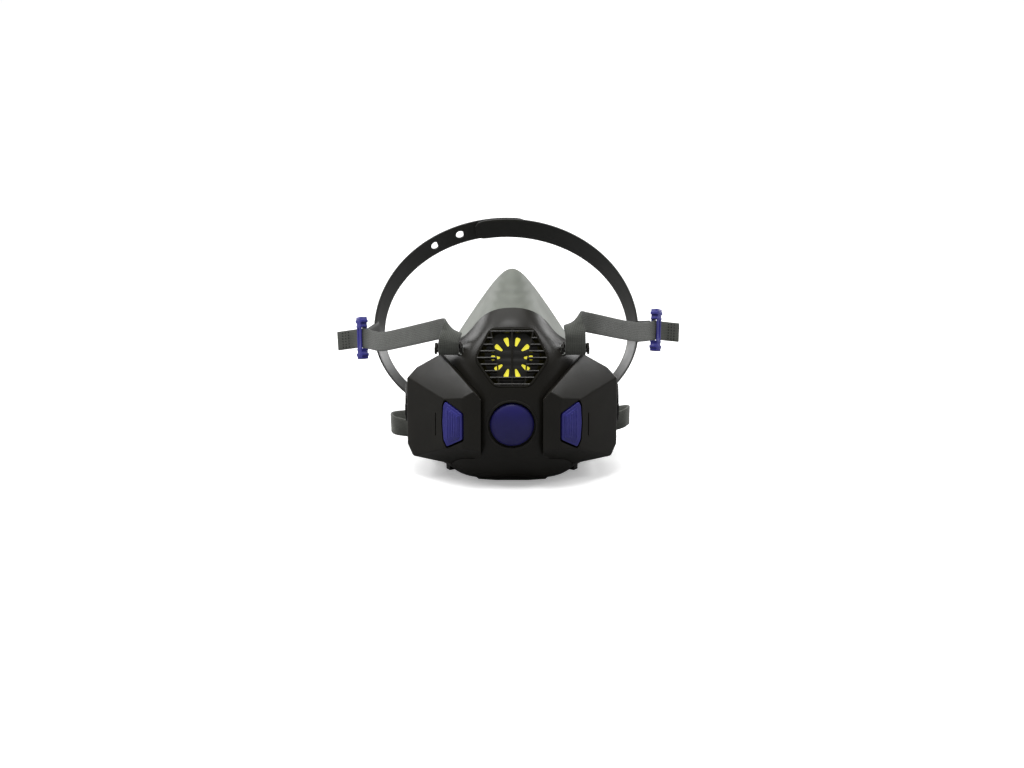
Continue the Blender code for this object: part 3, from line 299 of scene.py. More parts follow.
# Spark-eroded mould grain, with a slow drift in shade and shine over the surface.
grain, grain_in, grain_out = new_group("mould_grain", {"Grain": 0.0004, "Drift": 0.012},
                                       ("Height", "Patch"))
fine = calc(grain, "DIVIDE", 1, grain_in.outputs["Grain"])
slow = calc(grain, "DIVIDE", 1, grain_in.outputs["Drift"])
tune(grain_out, Height=object_noise(grain, fine, Detail=3, Roughness=0.6))
patch = object_noise(grain, slow, Detail=2, Roughness=0.5)
tune(grain_out, Patch=ramp(grain, patch, 0.35, 0.65))

# Edges that hands and bags have rubbed: found by how far a rounded normal turns, then broken up.
wear, wear_in, wear_out = new_group("edge_wear", {"Width": 0.0006, "Break": 0.003}, ("Edge",))
rounded = add_node(wear, "ShaderNodeBevel", samples=4, Radius=wear_in.outputs["Width"])
wear_face = wear.nodes.new("ShaderNodeNewGeometry")
wear_turn = add_node(wear, "ShaderNodeVectorMath", operation="DOT_PRODUCT")
feed(wear, rounded.outputs["Normal"], wear_turn.inputs[0])
feed(wear, wear_face.outputs["Normal"], wear_turn.inputs[1])
wear_scale = calc(wear, "DIVIDE", 1, wear_in.outputs["Break"])
wear_edge = ramp(wear, wear_turn.outputs["Value"], 0.995, 0.93)
wear_break = ramp(wear, object_noise(wear, wear_scale, Detail=4, Roughness=0.65), 0.36, 0.62)
tune(wear_out, Edge=calc(wear, "MULTIPLY", wear_edge, wear_break))


def use_group(tree, group, **values):
    return add_node(tree, "ShaderNodeGroup", node_tree=group, **values)


def bumped(tree, shader, height, strength, depth):
    """Raise the surface by a height map."""
    bump = add_node(tree, "ShaderNodeBump", Strength=strength, Distance=depth, Height=height)
    tune(shader, Normal=bump.outputs["Normal"])


def moulded(name, colour, worn, rough, grain_size=0.0004, depth=0.00004, wear_share=0.5, drift=0.012,
            **more):
    """A moulded plastic or rubber with grain, drifting shine and lighter, smoother worn edges."""
    material, tree, shader = new_material(name)
    skin = use_group(tree, grain, Grain=grain_size, Drift=drift)
    edge = use_group(tree, wear)
    deep = tuple(channel * 0.86 for channel in colour) + (1,)
    shade = mixed(tree, skin.outputs["Patch"], colour + (1,), deep)
    edge_share = calc(tree, "MULTIPLY", edge.outputs["Edge"], wear_share)
    tune(shader, Base_Color=mixed(tree, edge_share, shade, worn + (1,)))
    dull = ramp(tree, skin.outputs["Patch"], 0, 1, rough - 0.03, rough + 0.04)
    speck = calc(tree, "MULTIPLY_ADD", skin.outputs["Height"], 0.08, -0.04)
    rubbed = calc(tree, "MULTIPLY", edge_share, -0.08)
    tune(shader, Roughness=calc(tree, "ADD", calc(tree, "ADD", dull, speck), rubbed))
    bumped(tree, shader, skin.outputs["Height"], 0.35, depth)
    tune(shader, **more)
    return material


def dress(item, material, body, slot, *nodes):
    """Give a piece its material and its body, and hide the frame nodes it stands for. The slot is not
    used.
    """
    item.data.materials.clear()
    item.data.materials.append(material)
    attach(item, body)
    if nodes:
        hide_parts(*nodes)


def keep(names, material):
    """Frame nodes whose shape is right and that only need a finish."""
    for name in names:
        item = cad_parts[name]
        item.data.materials.clear()
        item.data.materials.append(material)


silicone = moulded("silicone", (0.172, 0.186, 0.158), (0.21, 0.225, 0.195), 0.5, 0.0009, 0.00003, 0.25,
                   0.02, Subsurface_Weight=0.12, Subsurface_Radius=(0.004, 0.0035, 0.003),
                   Subsurface_Scale=1, Sheen_Weight=0.12, Sheen_Roughness=0.45)
dress(facepiece, silicone, "mask", "silicone", "facepiece")

# -------- inner frame and inhalation valves
# A flat carrier of black nylon inside the mask, clipped into the silicone, with four
# thin rubber flaps pegged over its air holes so that air only comes in.
inner_plastic = moulded("inner_plastic", (0.016, 0.015, 0.013), (0.04, 0.038, 0.033), 0.5)
rubber = moulded("rubber", (0.022, 0.022, 0.022), (0.05, 0.05, 0.05), 0.62, 0.0007, 0.00005, 0.3)
keep(["inner_frame"], inner_plastic)
keep([f"{side}_{level}_inhale_flap" for side in ("left", "right") for level in ("lower", "upper")],
     rubber)

# -------- exhalation valve and its cover
# A spoked seat with a soft mushroom flap behind the chin, over a slotted plate that
# lets spent air out downwards. The plate is snapped in and is what the mask stands on.
keep(["exhalation_valve_seat", "exhaust_cover"], inner_plastic)
keep(["exhalation_flap"], rubber)

# -------- speaking diaphragm
# A drum of bright yellow film held by a ring behind a black plate with ten slots,
# like the back of a small loudspeaker. The film shows through the slots, with a painted glow on it.
GRILLE_CENTRE = (0, -40.15, 83.8)
GRILLE_TILT = radians(20)
PLATE_RADIUS = 17.0
PLATE_SIDES = 72
PETALS = 10


def frame_at(origin, x_axis, y_axis):
    """A placement in metres whose Z axis is x_axis cross y_axis."""
    x_axis = Vector(x_axis).normalized()
    z_axis = x_axis.cross(Vector(y_axis)).normalized()
    y_axis = z_axis.cross(x_axis)
    matrix = Matrix((x_axis, y_axis, z_axis)).transposed().to_4x4()
    matrix.translation = Vector(origin) * MM
    return matrix


grille_place = frame_at(GRILLE_CENTRE, (1, 0, 0), (0, sin(GRILLE_TILT), cos(GRILLE_TILT)))


def outward(bm):
    """Turn a closed mesh's faces outwards."""
    bmesh.ops.recalc_face_normals(bm, faces=bm.faces)
    if bm.calc_volume(signed=True) < 0:
        bmesh.ops.reverse_faces(bm, faces=bm.faces)


def from_bmesh(name, bm):
    outward(bm)
    return link_bmesh(name, bm)


def prism(name, loops, low, high, place):
    """A flat outline, with any inner loops as holes, from low to high along place's Z."""
    curve = bpy.data.curves.new(name, "CURVE")
    curve.dimensions = "2D"
    curve.fill_mode = "BOTH"
    curve.extrude = (high - low) / 2 * MM
    for loop in loops:
        spline = curve.splines.new("POLY")
        spline.points.add(len(loop) - 1)
        for knot, point in zip(spline.points, loop):
            knot.co = (point[0] * MM, point[1] * MM, 0, 1)
        spline.use_cyclic_u = True
    item = linked(name, curve)
    item.matrix_world = place @ Matrix.Translation((0, 0, (low + high) / 2 * MM))
    item = settled(item)
    bm = bmesh.new()
    bm.from_mesh(item.data)
    bmesh.ops.remove_doubles(bm, verts=bm.verts, dist=0.000002)
    bm.to_mesh(item.data)
    bm.free()
    return item


def turned(name, profile, place, steps=72):
    """A closed ring of (radius, height) points turned about place's Z axis."""
    bm = bmesh.new()
    rings = []
    for i in range(steps):
        angle = 2 * pi * i / steps
        ring = [bm.verts.new(place @ (Vector((radius * cos(angle), radius * sin(angle),
                                              height)) * MM)) for radius, height in profile]
        rings.append(ring)
    for ring, following in zip(rings, rings[1:] + rings[:1]):
        for j in range(len(profile)):
            k = (j + 1) % len(profile)
            if profile[j][0] > 0 or profile[k][0] > 0:
                bm.faces.new((ring[j], ring[k], following[k], following[j]))
    bmesh.ops.remove_doubles(bm, verts=bm.verts, dist=0.000001)
    return from_bmesh(name, bm)


def cut(item, *cutters):
    """Cut other shapes out and throw them away."""
    for cutter in cutters:
        item = settled(changed(item, "BOOLEAN", operation="DIFFERENCE", solver="EXACT", object=cutter))
        bpy.data.objects.remove(cutter)
    return item


def edged(item, width, segments=2, angle=35):
    """Round every edge sharper than the angle."""
    return settled(changed(item, "BEVEL", width=width * MM, segments=segments, limit_method="ANGLE",
                           angle_limit=radians(angle)))


def tear(angle, near, far, width):
    """A drop-shaped slot pointing outwards, as an outline."""
    along = Vector((cos(angle), sin(angle)))
    across = Vector((-along.y, along.x)) * width
    shape = [(near, 0.08), (near + 0.3, 0.2), (near + 2, 0.34), (far - 1.2, 0.5), (far - 0.3, 0.46),
             (far, 0.3)]
    outline = [along * radius + across * half for radius, half in shape]
    outline += [along * radius - across * half for radius, half in reversed(shape)]
    return [tuple(point) for point in outline]


plate_rim = [(cos(tau * i / PLATE_SIDES) * PLATE_RADIUS,
              sin(tau * i / PLATE_SIDES) * PLATE_RADIUS) for i in range(PLATE_SIDES)]
slots = [tear(tau * i / PETALS, 7.4, 12.9, 3) for i in range(PETALS)]
spider = edged(prism("diaphragm_plate", [plate_rim] + slots, -4.4, -3.2, grille_place), 0.3)
dress(smoothed(spider), inner_plastic, "mask", "plastic", "diaphragm_spider")

film_profile = [(0, -4.9), (6, -4.85), (9, -4.75), (12, -4.8), (14.5, -4.9), (16.4, -4.8),
                (16.4, -5.3), (0, -5.3)]
film = turned("diaphragm_film", film_profile, grille_place)
# The film's emission is a painted glow: it brightens the yellow though the film is no lamp.
yellow = moulded("glowing_yellow_film", (0.88, 0.82, 0.07), (0.9, 0.87, 0.2), 0.4, 0.0006, 0.00002, 0.2,
                 Emission_Color=(0.95, 0.85, 0.07, 1), Emission_Strength=0.8)
dress(smoothed(film), yellow, "mask", "yellow", "speaking_diaphragm")

ring_profile = [(14, -5.9), (17, -5.9), (17, -8.2), (14, -8.2)]
drum_ring = edged(turned("diaphragm_clamp_ring", ring_profile, grille_place), 0.35, 2, 60)
dress(smoothed(drum_ring), inner_plastic, "mask", "plastic", "diaphragm_ring")

# -------- seal check button
# A domed button of satin dark blue nylon in a round cup. Pressing it pushes a stem and
# a shutter back against the air ports; a steel spring brings all three forward again.
BUTTON_CENTRE = (0, -48, 42.3)
BUTTON_RADIUS = 13.7
button_place = frame_at(BUTTON_CENTRE, (1, 0, 0), (0, 0, 1))
dome = [(0, 2.6), (2, 2.57), (4, 2.43), (6, 2.18), (8, 1.8), (10, 1.25), (11.6, 0.62),
        (12.7, -0.02), (13.3, -0.55), (13.6, -1), (BUTTON_RADIUS, -1.5), (BUTTON_RADIUS, -3.3),
        (13.5, -3.4), (12.4, -3.4), (12.2, -1.8), (3.6, -0.3), (0, -0.3)]
seal_button = smoothed(turned("seal_button_dome", dome, button_place, 96), 50)
dark_blue = moulded("dark_blue", (0.015, 0.012, 0.14), (0.05, 0.045, 0.26), 0.4, 0.0005, 0.00003)
dress(seal_button, dark_blue, "seal_check", "button_blue", "seal_check_button")
keep(["seal_check_shutter", "seal_check_stem", "seal_check_guide"], inner_plastic)

# Bright spring wire whose shine varies in small patches.
steel, steel_tree, steel_shader = new_material("steel")
wire_skin = use_group(steel_tree, grain, Grain=0.0002, Drift=0.004)
tune(steel_shader, Metallic=1, Base_Color=mixed(steel_tree, wire_skin.outputs["Patch"],
                                               (0.58, 0.57, 0.55, 1), (0.46, 0.45, 0.43, 1)))
tune(steel_shader, Roughness=ramp(steel_tree, wire_skin.outputs["Height"], 0.3, 0.7, 0.22, 0.36))
bumped(steel_tree, steel_shader, wire_skin.outputs["Height"], 0.3, 0.00002)
keep(["seal_check_spring"], steel)

# -------- front shell
# The hood that carries everything: one stiff satin nylon moulding, brown-black, with broad
# soft ridges from the shoulders to the grille. The wings, grille and button drop into it.
SHELL_ROWS = [
    [(0, -28, 1.5), (10, -28, 1.5), (21, -27, 1.5), (31.5, -23.5, 2.4), (39, -15, 5.4),
     (43, -4, 7.5), (46, 8, 8.5)],
    [(0, -35.5, 3.5), (10, -35.5, 3.5), (21, -34.5, 3.6), (32.5, -30, 4.8), (40.5, -20, 7.6),
     (46, -8, 9.8), (49, 4, 10.5)],
    [(0, -41, 12), (9, -41, 12), (19, -40, 12), (30, -36, 12), (39, -28, 12.5), (46, -15, 13.5),
     (50, 0, 14)],
    [(0, -46, 24), (9, -46, 24), (18, -45, 24), (28, -40, 24), (37, -32, 24), (45, -18, 24),
     (49, -2, 24)],
    [(0, -48, 42), (9, -48, 42), (18, -47, 42), (28, -41, 42), (37, -32, 42), (45, -18, 42),
     (49, -2, 42)],
    [(0, -48, 56), (9, -48, 56), (17, -47.5, 56), (26, -42, 56), (36, -32, 55), (45, -18, 54),
     (48, -2, 53)],
    [(0, -47, 66), (10, -46.5, 66), (19, -44.5, 66), (26, -38, 66), (34, -28, 64.5), (42, -16, 63.5),
     (46, -2, 62)],
    [(0, -43, 78), (12, -42.5, 78), (23, -41, 78), (29, -36, 77), (35, -26, 75.5), (40.5, -16, 73.5),
     (45, -4, 71)],
    [(0, -38.5, 90), (12, -38, 90), (22, -36.5, 89), (28.5, -31, 86.5), (34, -23, 83), (39, -15, 79.5),
     (43.5, -6, 76.5)],
    [(0, -34.5, 100), (10, -34, 99.5), (18.5, -31.5, 97), (24.5, -26.5, 92.5), (30, -20, 88.5),
     (35.5, -14, 84), (41, -7, 80.5)],
    [(0, -28, 106.5), (8, -27.5, 105.8), (15.5, -25, 102.8), (20.5, -20.5, 98.8), (26, -15.5, 93.5),
     (31.5, -11.5, 87.5), (38, -6, 83.5)],
    [(0, -20, 110.5), (7, -19.5, 110), (14, -17.5, 107.2), (19, -14, 103), (23.5, -11, 97),
     (28.5, -8.5, 89.5), (35, -5, 85.5)],
]
GAP = 0.3
WING_WALL = 2.0
WING_BACK = 20.0
INNER_SIDE = 24.5
INNER_SHARE = 0.42
BEYOND = 40.0
PORT_INNER = Vector((19.3, -45))
PORT_OUTER = Vector((51.5, -7))
WING_FRONT = [(66, 62), (66, 20), (62.5, 13.2), (40, 10), (23, 14.1), (19.3, 18.4),
              (19.3, 59), (22.5, 63), (44.5, 80.5)]
WING_TOPS = [((44.5, -20, 80.5), (60, -16, 70.5), (44.5, 20, 70)),
             ((60, -16, 70.5), (66, -12, 62.5), (60, 20, 60.5))]
WING_PLAN = [(19.3, -50), (31, -46), (43, -38), (66, -14), (64, WING_BACK)]
WING_FACETS = [((43.6, -37.6, 56), (61, -17.5, 64.5), (44.5, -20, 80.5)),
               ((62, -18.2, 13), (41, -39, 24), (40, -24, 10))]


def wing_planes():
    """Every flat of the wing's outside, as a point and an outward direction."""
    planes = []
    for (x1, z1), (x2, z2) in zip(WING_FRONT, WING_FRONT[1:]):
        planes.append(((x1, 0, z1), (z1 - z2, 0, x2 - x1)))
    for (x1, y1), (x2, y2) in zip(WING_PLAN, WING_PLAN[1:]):
        planes.append(((x1, y1, 0), (y2 - y1, x1 - x2, 0)))
    planes.append(((0, WING_BACK, 0), (0, 1, 0)))
    for corners, axis, sign in ((WING_FACETS, 1, -1), (WING_TOPS, 2, 1)):
        for p, q, r in corners:
            normal = (Vector(q) - Vector(p)).cross(Vector(r) - Vector(p))
            planes.append((p, normal if normal[axis] * sign > 0 else -normal))
    return planes


def wing_form(name, grow, port_grow, side_grow, soften=0):
    """The wing's outer form, open towards the mask, grown on its outside and port sides."""
    bm = bmesh.new()
    bmesh.ops.create_cube(bm, size=0.4)
    for point, normal in wing_planes():
        normal = Vector(normal).normalized()
        point = (Vector(point) + normal * grow) * MM
        everything = bm.verts[:] + bm.edges[:] + bm.faces[:]
        bmesh.ops.bisect_plane(bm, geom=everything, dist=1e-7, plane_co=point, plane_no=normal,
                               clear_outer=True)
        bmesh.ops.holes_fill(bm, edges=[edge for edge in bm.edges if edge.is_boundary])
    if soften:
        weights = bm.edges.layers.float.new("bevel_weight_edge")
        for edge in bm.edges:
            inner_side = all(vertex.co.x < INNER_SIDE * MM for vertex in edge.verts)
            edge[weights] = INNER_SHARE if inner_side else 1.0
    wing = from_bmesh(name, bm)
    if soften:
        wing = settled(changed(wing, "BEVEL", width=soften * MM, segments=6, limit_method="WEIGHT"))
    along = (PORT_OUTER - PORT_INNER).normalized()
    corner_x = PORT_OUTER.x - side_grow
    start = PORT_INNER - Vector((along.y, -along.x)) * port_grow
    corner = start + along * ((corner_x - start.x) / along.x)
    low = start - along * BEYOND
    core = [tuple(low), tuple(corner), (corner_x, WING_BACK + BEYOND), (low.x, WING_BACK + BEYOND)]
    return cut(wing, prism("wing_core", [core], -BEYOND, 3 * BEYOND, Matrix.Identity(4)))


def flipped(item, name):
    """The same piece for the wearer's right side."""
    mesh = item.data.copy()
    mesh.transform(Matrix.Diagonal((-1, 1, 1, 1)))
    mesh.flip_normals()
    return linked(name, mesh)


def box(name, low, high, place=None):
    """A square-cornered block between two corners."""
    bm = bmesh.new()
    bmesh.ops.create_cube(bm, size=1)
    size = [(b - a) * MM for a, b in zip(low, high)]
    centre = [(b + a) / 2 * MM for a, b in zip(low, high)]
    bm.transform(Matrix.Translation(centre) @ Matrix.Diagonal((*size, 1)))
    if place:
        bm.transform(place)
    return from_bmesh(name, bm)


def rod(name, radius, start, end, sides=48):
    """A round bar between two points."""
    start = Vector(start) * MM
    end = Vector(end) * MM
    turn = (end - start).to_track_quat("Z", "Y").to_matrix().to_4x4()
    bm = bmesh.new()
    bmesh.ops.create_cone(bm, cap_ends=True, segments=sides, radius1=radius * MM, radius2=radius * MM,
                          depth=(end - start).length)
    bm.transform(Matrix.Translation((start + end) / 2) @ turn)
    return from_bmesh(name, bm)


HEXAGON = [(-1, -0.04), (-0.585, 1), (0.585, 1), (1, -0.04), (0.472, -1), (-0.472, -1)]


def corners_of(outline):
    """Each point of an outline between the points before and after it."""
    points = [Vector(point) for point in outline]
    return zip(points[-1:] + points, points, points[1:] + points[:1])


def offset_outline(outline, distance):
    """Move a clockwise outline's sides outwards by a distance."""
    moved = []
    for before, point, after in corners_of(outline):
        n1 = Vector((before.y - point.y, point.x - before.x)).normalized()
        n2 = Vector((point.y - after.y, after.x - point.x)).normalized()
        bisector = (n1 + n2).normalized()
        moved.append(tuple(point + bisector * (distance / bisector.dot(n1))))
    return moved


def rounded_outline(outline, radius, steps=5):
    """Swap an outline's corners for arcs."""
    softened = []
    for before, point, after in corners_of(outline):
        start = point + (before - point).normalized() * radius
        end = point + (after - point).normalized() * radius
        for step in range(steps + 1):
            t = step / steps
            softened.append(tuple(start * (1 - t) ** 2 + point * 2 * t * (1 - t) + end * t ** 2))
    return softened


GRILLE_HALF_WIDTH = 23.4
GRILLE_HALF_HEIGHT = 18.5
GRILLE_CORNER = 4.5
GRILLE_HEXAGON = [(x * GRILLE_HALF_WIDTH, z * GRILLE_HALF_HEIGHT) for x, z in HEXAGON]
LUG_BAR = (39.5, -25, 84)
LUG_HALF = 8.75

shell = walled(half_skin("front_shell_skin", SHELL_ROWS, 3), 2, 0.6)
left_room = wing_form("wing_room", GAP, GAP, GAP)
right_room = flipped(left_room, "right_wing_room")
shell = cut(shell, left_room, right_room)
grille_room = rounded_outline(offset_outline(GRILLE_HEXAGON, GAP), GRILLE_CORNER, 8)
shell = cut(shell, prism("grille_room", [grille_room], -12, 12, grille_place))
x, y, z = BUTTON_CENTRE
shell = cut(shell, rod("button_room", BUTTON_RADIUS + 1.3, (x, -60, z), (x, -30, z), 96))
for sign in (-1, 1):
    middle = sign * LUG_BAR[0]
    shell = cut(shell, box("lug_slot", (middle - LUG_HALF - GAP, LUG_BAR[1] - 3, LUG_BAR[2] - 3.3),
                           (middle + LUG_HALF + GAP, LUG_BAR[1] + 10.3, LUG_BAR[2] + 2.9)))
satin_black = moulded("satin_black", (0.0135, 0.0122, 0.0092), (0.032, 0.028, 0.022), 0.36,
                      Specular_IOR_Level=0.32)
dress(smoothed(shell, 40), satin_black, "mask", "plastic", "front_shell")

# -------- button recess lip
# The round lip of the button's recess, in the same black nylon. It is moulded with the hood
# and stands a little proud of it.
recess_lip = [(14.7, -0.6), (14.9, 0.12), (15.3, 0.3), (15.8, 0.22), (16.2, -0.1), (16.2, -0.8)]
lip = smoothed(turned("button_recess_lip", recess_lip, button_place, 96), 50)
dress(lip, satin_black, "mask", "plastic")

# -------- speaking grille
# A six-sided grille moulded in one piece. Thin slats slope back between the frame and two
# side ribs, the middle is left open for the voice, and one thin rib crosses it.
LOUVRE_PITCH = 4.1
SLAT_DEPTH = 2.3
SLAT_THICKNESS = 0.9
SLAT_LEAN = radians(24)
RIB_TOP = 17.6
RIB_BEND = -4.0
OPEN_LOW = -10.0
OPEN_HIGH = 14.0


def rib_at(height):
    """The middle of a side rib at a height."""
    if height > RIB_BEND:
        return 9.0 + 4.4 * (height - RIB_BEND) / (RIB_TOP - RIB_BEND)
    return 9.0 + (height - RIB_BEND) / (RIB_TOP + RIB_BEND)


def half_width_at(outline, height):
    """Half the six-sided outline's width at a height."""
    for (x1, z1), (x2, z2) in zip(outline[2:4], outline[3:5]):
        if z2 <= height <= z1:
            return x1 + (x2 - x1) * (height - z1) / (z2 - z1)
    return 0.0


def slat(bm, low, high, height):
    """One sloped bar with a softened front edge, added to the grille."""
    half = SLAT_THICKNESS / 2
    corners = [(0, -0.28), (0, 0.28), (-0.25, half), (-SLAT_DEPTH, half), (-SLAT_DEPTH, -half),
               (-0.25, -half)]
    section = [(up * cos(SLAT_LEAN) + depth * sin(SLAT_LEAN),
                depth * cos(SLAT_LEAN) - up * sin(SLAT_LEAN)) for depth, up in corners]
    rings = []
    for side in (low, high):
        rings.append([bm.verts.new(grille_place @ (Vector((side, height + up, depth + 0.05)) * MM))
                      for up, depth in section])
    for j in range(len(section)):
        k = (j + 1) % len(section)
        bm.faces.new((rings[0][j], rings[0][k], rings[1][k], rings[1][j]))
    bm.faces.new(rings[0])
    bm.faces.new(list(reversed(rings[1])))


outer_hexagon = rounded_outline(GRILLE_HEXAGON, GRILLE_CORNER, 8)
inner_hexagon = rounded_outline(offset_outline(GRILLE_HEXAGON, -1.1), 4, 8)
grille_frame = edged(prism("grille_frame", [outer_hexagon, inner_hexagon], -2.6, -0.05, grille_place),
                     0.35)
middle_hexagon = offset_outline(GRILLE_HEXAGON, -1)
slats = bmesh.new()
count = int(2 * GRILLE_HALF_HEIGHT / LOUVRE_PITCH)
for i in range(count):
    height = (i - (count - 1) / 2) * LOUVRE_PITCH
    span = min(half_width_at(middle_hexagon, height + step) for step in (-0.6, 0.6))
    if OPEN_LOW < height < OPEN_HIGH:
        slat(slats, rib_at(height), span, height)
        slat(slats, -span, -rib_at(height), height)
    else:
        slat(slats, -span, span, height)
slat_set = from_bmesh("grille_slats", slats)
ribs = [edged(prism("side_rib", [[(sign * 12.9, RIB_TOP), (sign * 13.9, RIB_TOP),
                                  (sign * 9.5, RIB_BEND), (sign * 8.5, -RIB_TOP),
                                  (sign * 7.5, -RIB_TOP), (sign * 8.5, RIB_BEND)]],
                    -2, -0.15, grille_place), 0.25) for sign in (-1, 1)]
ribs.append(edged(box("centre_rib", (-0.55, -RIB_TOP, -2), (0.55, RIB_TOP, -0.1), grille_place),
                  0.25))


def gathered(name, items):
    """Several meshes made into one object."""
    bm = bmesh.new()
    for item in items:
        bm.from_mesh(item.data)
        bpy.data.objects.remove(item)
    return link_bmesh(name, bm)


grille = smoothed(gathered("speaking_grille", [grille_frame, slat_set] + ribs), 30)
dress(grille, satin_black, "mask", "plastic", "speech_grille")

# -------- wings
# A hollow moulded cheek each side, clipped to the hood. Its flats run into each other over
# broad soft creases, and a slim groove beside the button shows where the latch bar lies.
RELEASE_CENTRE = (37, -42, 41)
RELEASE_OUTLINE = [(-7.4, -9), (-7.4, 8), (5.6, 14.2), (7.2, 11), (7.9, 0), (7, -11),
                   (4.4, -15.4)]
RELEASE_GAP = 0.9
SOCKET_CENTRE = (65, 7, 41)
SOCKET_RADIUS = 10.5
release_place = frame_at(RELEASE_CENTRE, (12, 8, 0), (0, 0, 1))


def dress_pair(left, material, body, slot, node):
    """Dress a left piece and its mirror image, leaving the side out of body and node."""
    right = flipped(left, left.name.replace("left_", "right_"))
    for side, item in (("left", left), ("right", right)):
        dress(item, material, body.replace("SIDE", side), slot, f"{side}_{node}")


wing = wing_form("left_wing", 0, 0, 0, 5.2)
window = rounded_outline(offset_outline(RELEASE_OUTLINE, RELEASE_GAP), 1.4)
groove_place = frame_at((47.8, -33, 38.5), (23, 24, 0), (0, 0, 1))
x, y, z = SOCKET_CENTRE
wing = cut(wing, wing_form("wing_hollow", -WING_WALL, 1, -WING_WALL),
           prism("release_window", [window], -8, 8, release_place),
           rod("socket_hole", SOCKET_RADIUS + GAP, (x - 12, y, z), (x + 12, y, z), 72),
           box("latch_slot", (60, -10.5, 37.2), (72, -7.1, 44.8)),
           box("latch_groove", (-0.45, -7.5, -0.7), (0.45, 7.5, 3), groove_place))
dress_pair(smoothed(wing, 28), satin_black, "mask", "plastic", "wing_shell")
keep(["left_wing_back", "right_wing_back"], inner_plastic)

# -------- release buttons and latches
# Blue nylon keys, one in each cheek. Pressing one draws a black bar sideways out of the
# cartridge's catch. The raised pad has upright ribs for a gloved finger.
KEY_GAP = 0.35
PAD_OUTLINE = [(-5.2, -7.6), (-5.2, 6.6), (3.6, 10.8), (4.9, 8.6), (5.4, 0), (4.7, -9), (3, -11.8)]
RIB_HALF = 0.42
release_blue = moulded("release_blue", (0.036, 0.034, 0.27), (0.12, 0.12, 0.42), 0.34, 0.0005, 0.00003,
                       0.6)


def release_key(name):
    """The key's base, its raised pad and the ribs on the pad."""
    key_outline = rounded_outline(offset_outline(RELEASE_OUTLINE, -KEY_GAP), 0.9, 3)
    base = edged(prism(name, [key_outline], -3.2, 0.25, release_place), 0.45, 3)
    pad = edged(prism("pad", [rounded_outline(PAD_OUTLINE, 0.8, 3)], 0.1, 0.7, release_place), 0.22, 2)
    ribs = []
    for s in (-3.7, -1.9, -0.1, 1.7, 3.4):
        slope = 0.42 * (s + 3.7)
        rib = box("rib", (s - RIB_HALF, -6.6 - slope, 0.5), (s + RIB_HALF, 6.0 + slope, 0.98),
                  release_place)
        ribs.append(edged(rib, 0.2, 2))
    return smoothed(gathered(name, [base, pad] + ribs), 35)


dress_pair(release_key("left_release_key"), release_blue, "SIDE_release", "blue", "release_button")
keep(["left_latch", "right_latch"], inner_plastic)
keep(["left_release_spring", "right_release_spring"], steel)

# -------- cartridge sockets
# A turned collar in each cheek that a filter cartridge pushes into, with a soft ring at
# its foot that seals on the cartridge's spigot.
collar = [(10.8, 2.6), (11.8, 2.6), (12.1, 2.3), (12.1, 1.7), (11.9, 1.6), (10.5, 1.6), (10.5, -9),
          (7.3, -9), (7.3, -8), (8.9, -8), (8.9, 1.9), (9.1, 2.35), (9.6, 2.6)]
socket_place = frame_at(SOCKET_CENTRE, (0, 1, 0), (0, 0, 1))
dress_pair(smoothed(turned("left_cartridge_collar", collar, socket_place, 96), 40), inner_plastic,
           "mask", "plastic", "socket")
seal_ring = [(7.1, -6.2), (7.4, -5.85), (8, -5.8), (8.5, -6.1), (8.6, -6.7), (8.6, -7.7), (7.1, -7.7)]
dress_pair(smoothed(turned("left_seal_ring", seal_ring, socket_place, 96), 50), rubber,
           "mask", "rubber", "port_gasket")

# -------- upper lugs
# A black nylon bracket let into each shoulder of the hood, with two arms and a round bar.
# The strap's sewn end turns round the bar.
LUG_ARM = 1.6
LUG_BAR_RADIUS = 1.2
LUG_BAR_HALF = 7.95
x, y, z = LUG_BAR
lug_parts = [rod("lug_bar", LUG_BAR_RADIUS, (x - LUG_BAR_HALF, y, z), (x + LUG_BAR_HALF, y, z), 32)]
for start in (-LUG_HALF, LUG_HALF - LUG_ARM):
    arm = box("lug_arm", (x + start, y - 1.9, z - 2), (x + start + LUG_ARM, y + 10, z + 2.6))
    lug_parts.append(edged(arm, 0.5, 3))
bridge = box("lug_bridge", (x - LUG_HALF + 0.4, y + 7.4, z - 1.6),
             (x + LUG_HALF - 0.4, y + 9.8, z + 2.2))
lug_parts.append(edged(bridge, 0.4))
dress_pair(smoothed(gathered("left_strap_lug", lug_parts), 35), satin_black, "mask", "plastic",
           "upper_lug")

# -------- upper straps
# Half-inch grey knitted elastic, folded round the lug's bar and led back through the buckle.
# The free tail is doubled and bar-tacked with dark thread so it can't slip out.
STRAP_WIDTH = 12.7
STRAP_THICKNESS = 1.1

knit, knit_in, knit_out = new_group("knit", {"Wale": 0.0011, "Course": 0.0009, "Width": 0.0127},
                                    ("Height", "Shade", "Selvedge"))
knit_uv = knit.nodes.new("ShaderNodeUVMap")
knit_split = add_node(knit, "ShaderNodeSeparateXYZ", Vector=knit_uv.outputs["UV"])
across = knit_split.outputs["X"]
along = calc(knit, "DIVIDE", knit_split.outputs["Y"], knit_in.outputs["Course"])
wale = calc(knit, "FRACT", calc(knit, "DIVIDE", across, knit_in.outputs["Wale"]))
from_middle = calc(knit, "ABSOLUTE", calc(knit, "SUBTRACT", wale, 0.5))
chevron = calc(knit, "FRACT", calc(knit, "MULTIPLY_ADD", from_middle, 1.1, along))
course = calc(knit, "ABSOLUTE", calc(knit, "SUBTRACT", chevron, 0.5))
crown = calc(knit, "SUBTRACT", 1, calc(knit, "MULTIPLY", course, 1.7))
gap = calc(knit, "POWER", calc(knit, "MULTIPLY", from_middle, 2), 4)
stitch = calc(knit, "MULTIPLY", crown, calc(knit, "SUBTRACT", 1, gap))
fuzz = calc(knit, "MULTIPLY", object_noise(knit, 2600, Detail=3), 0.2)
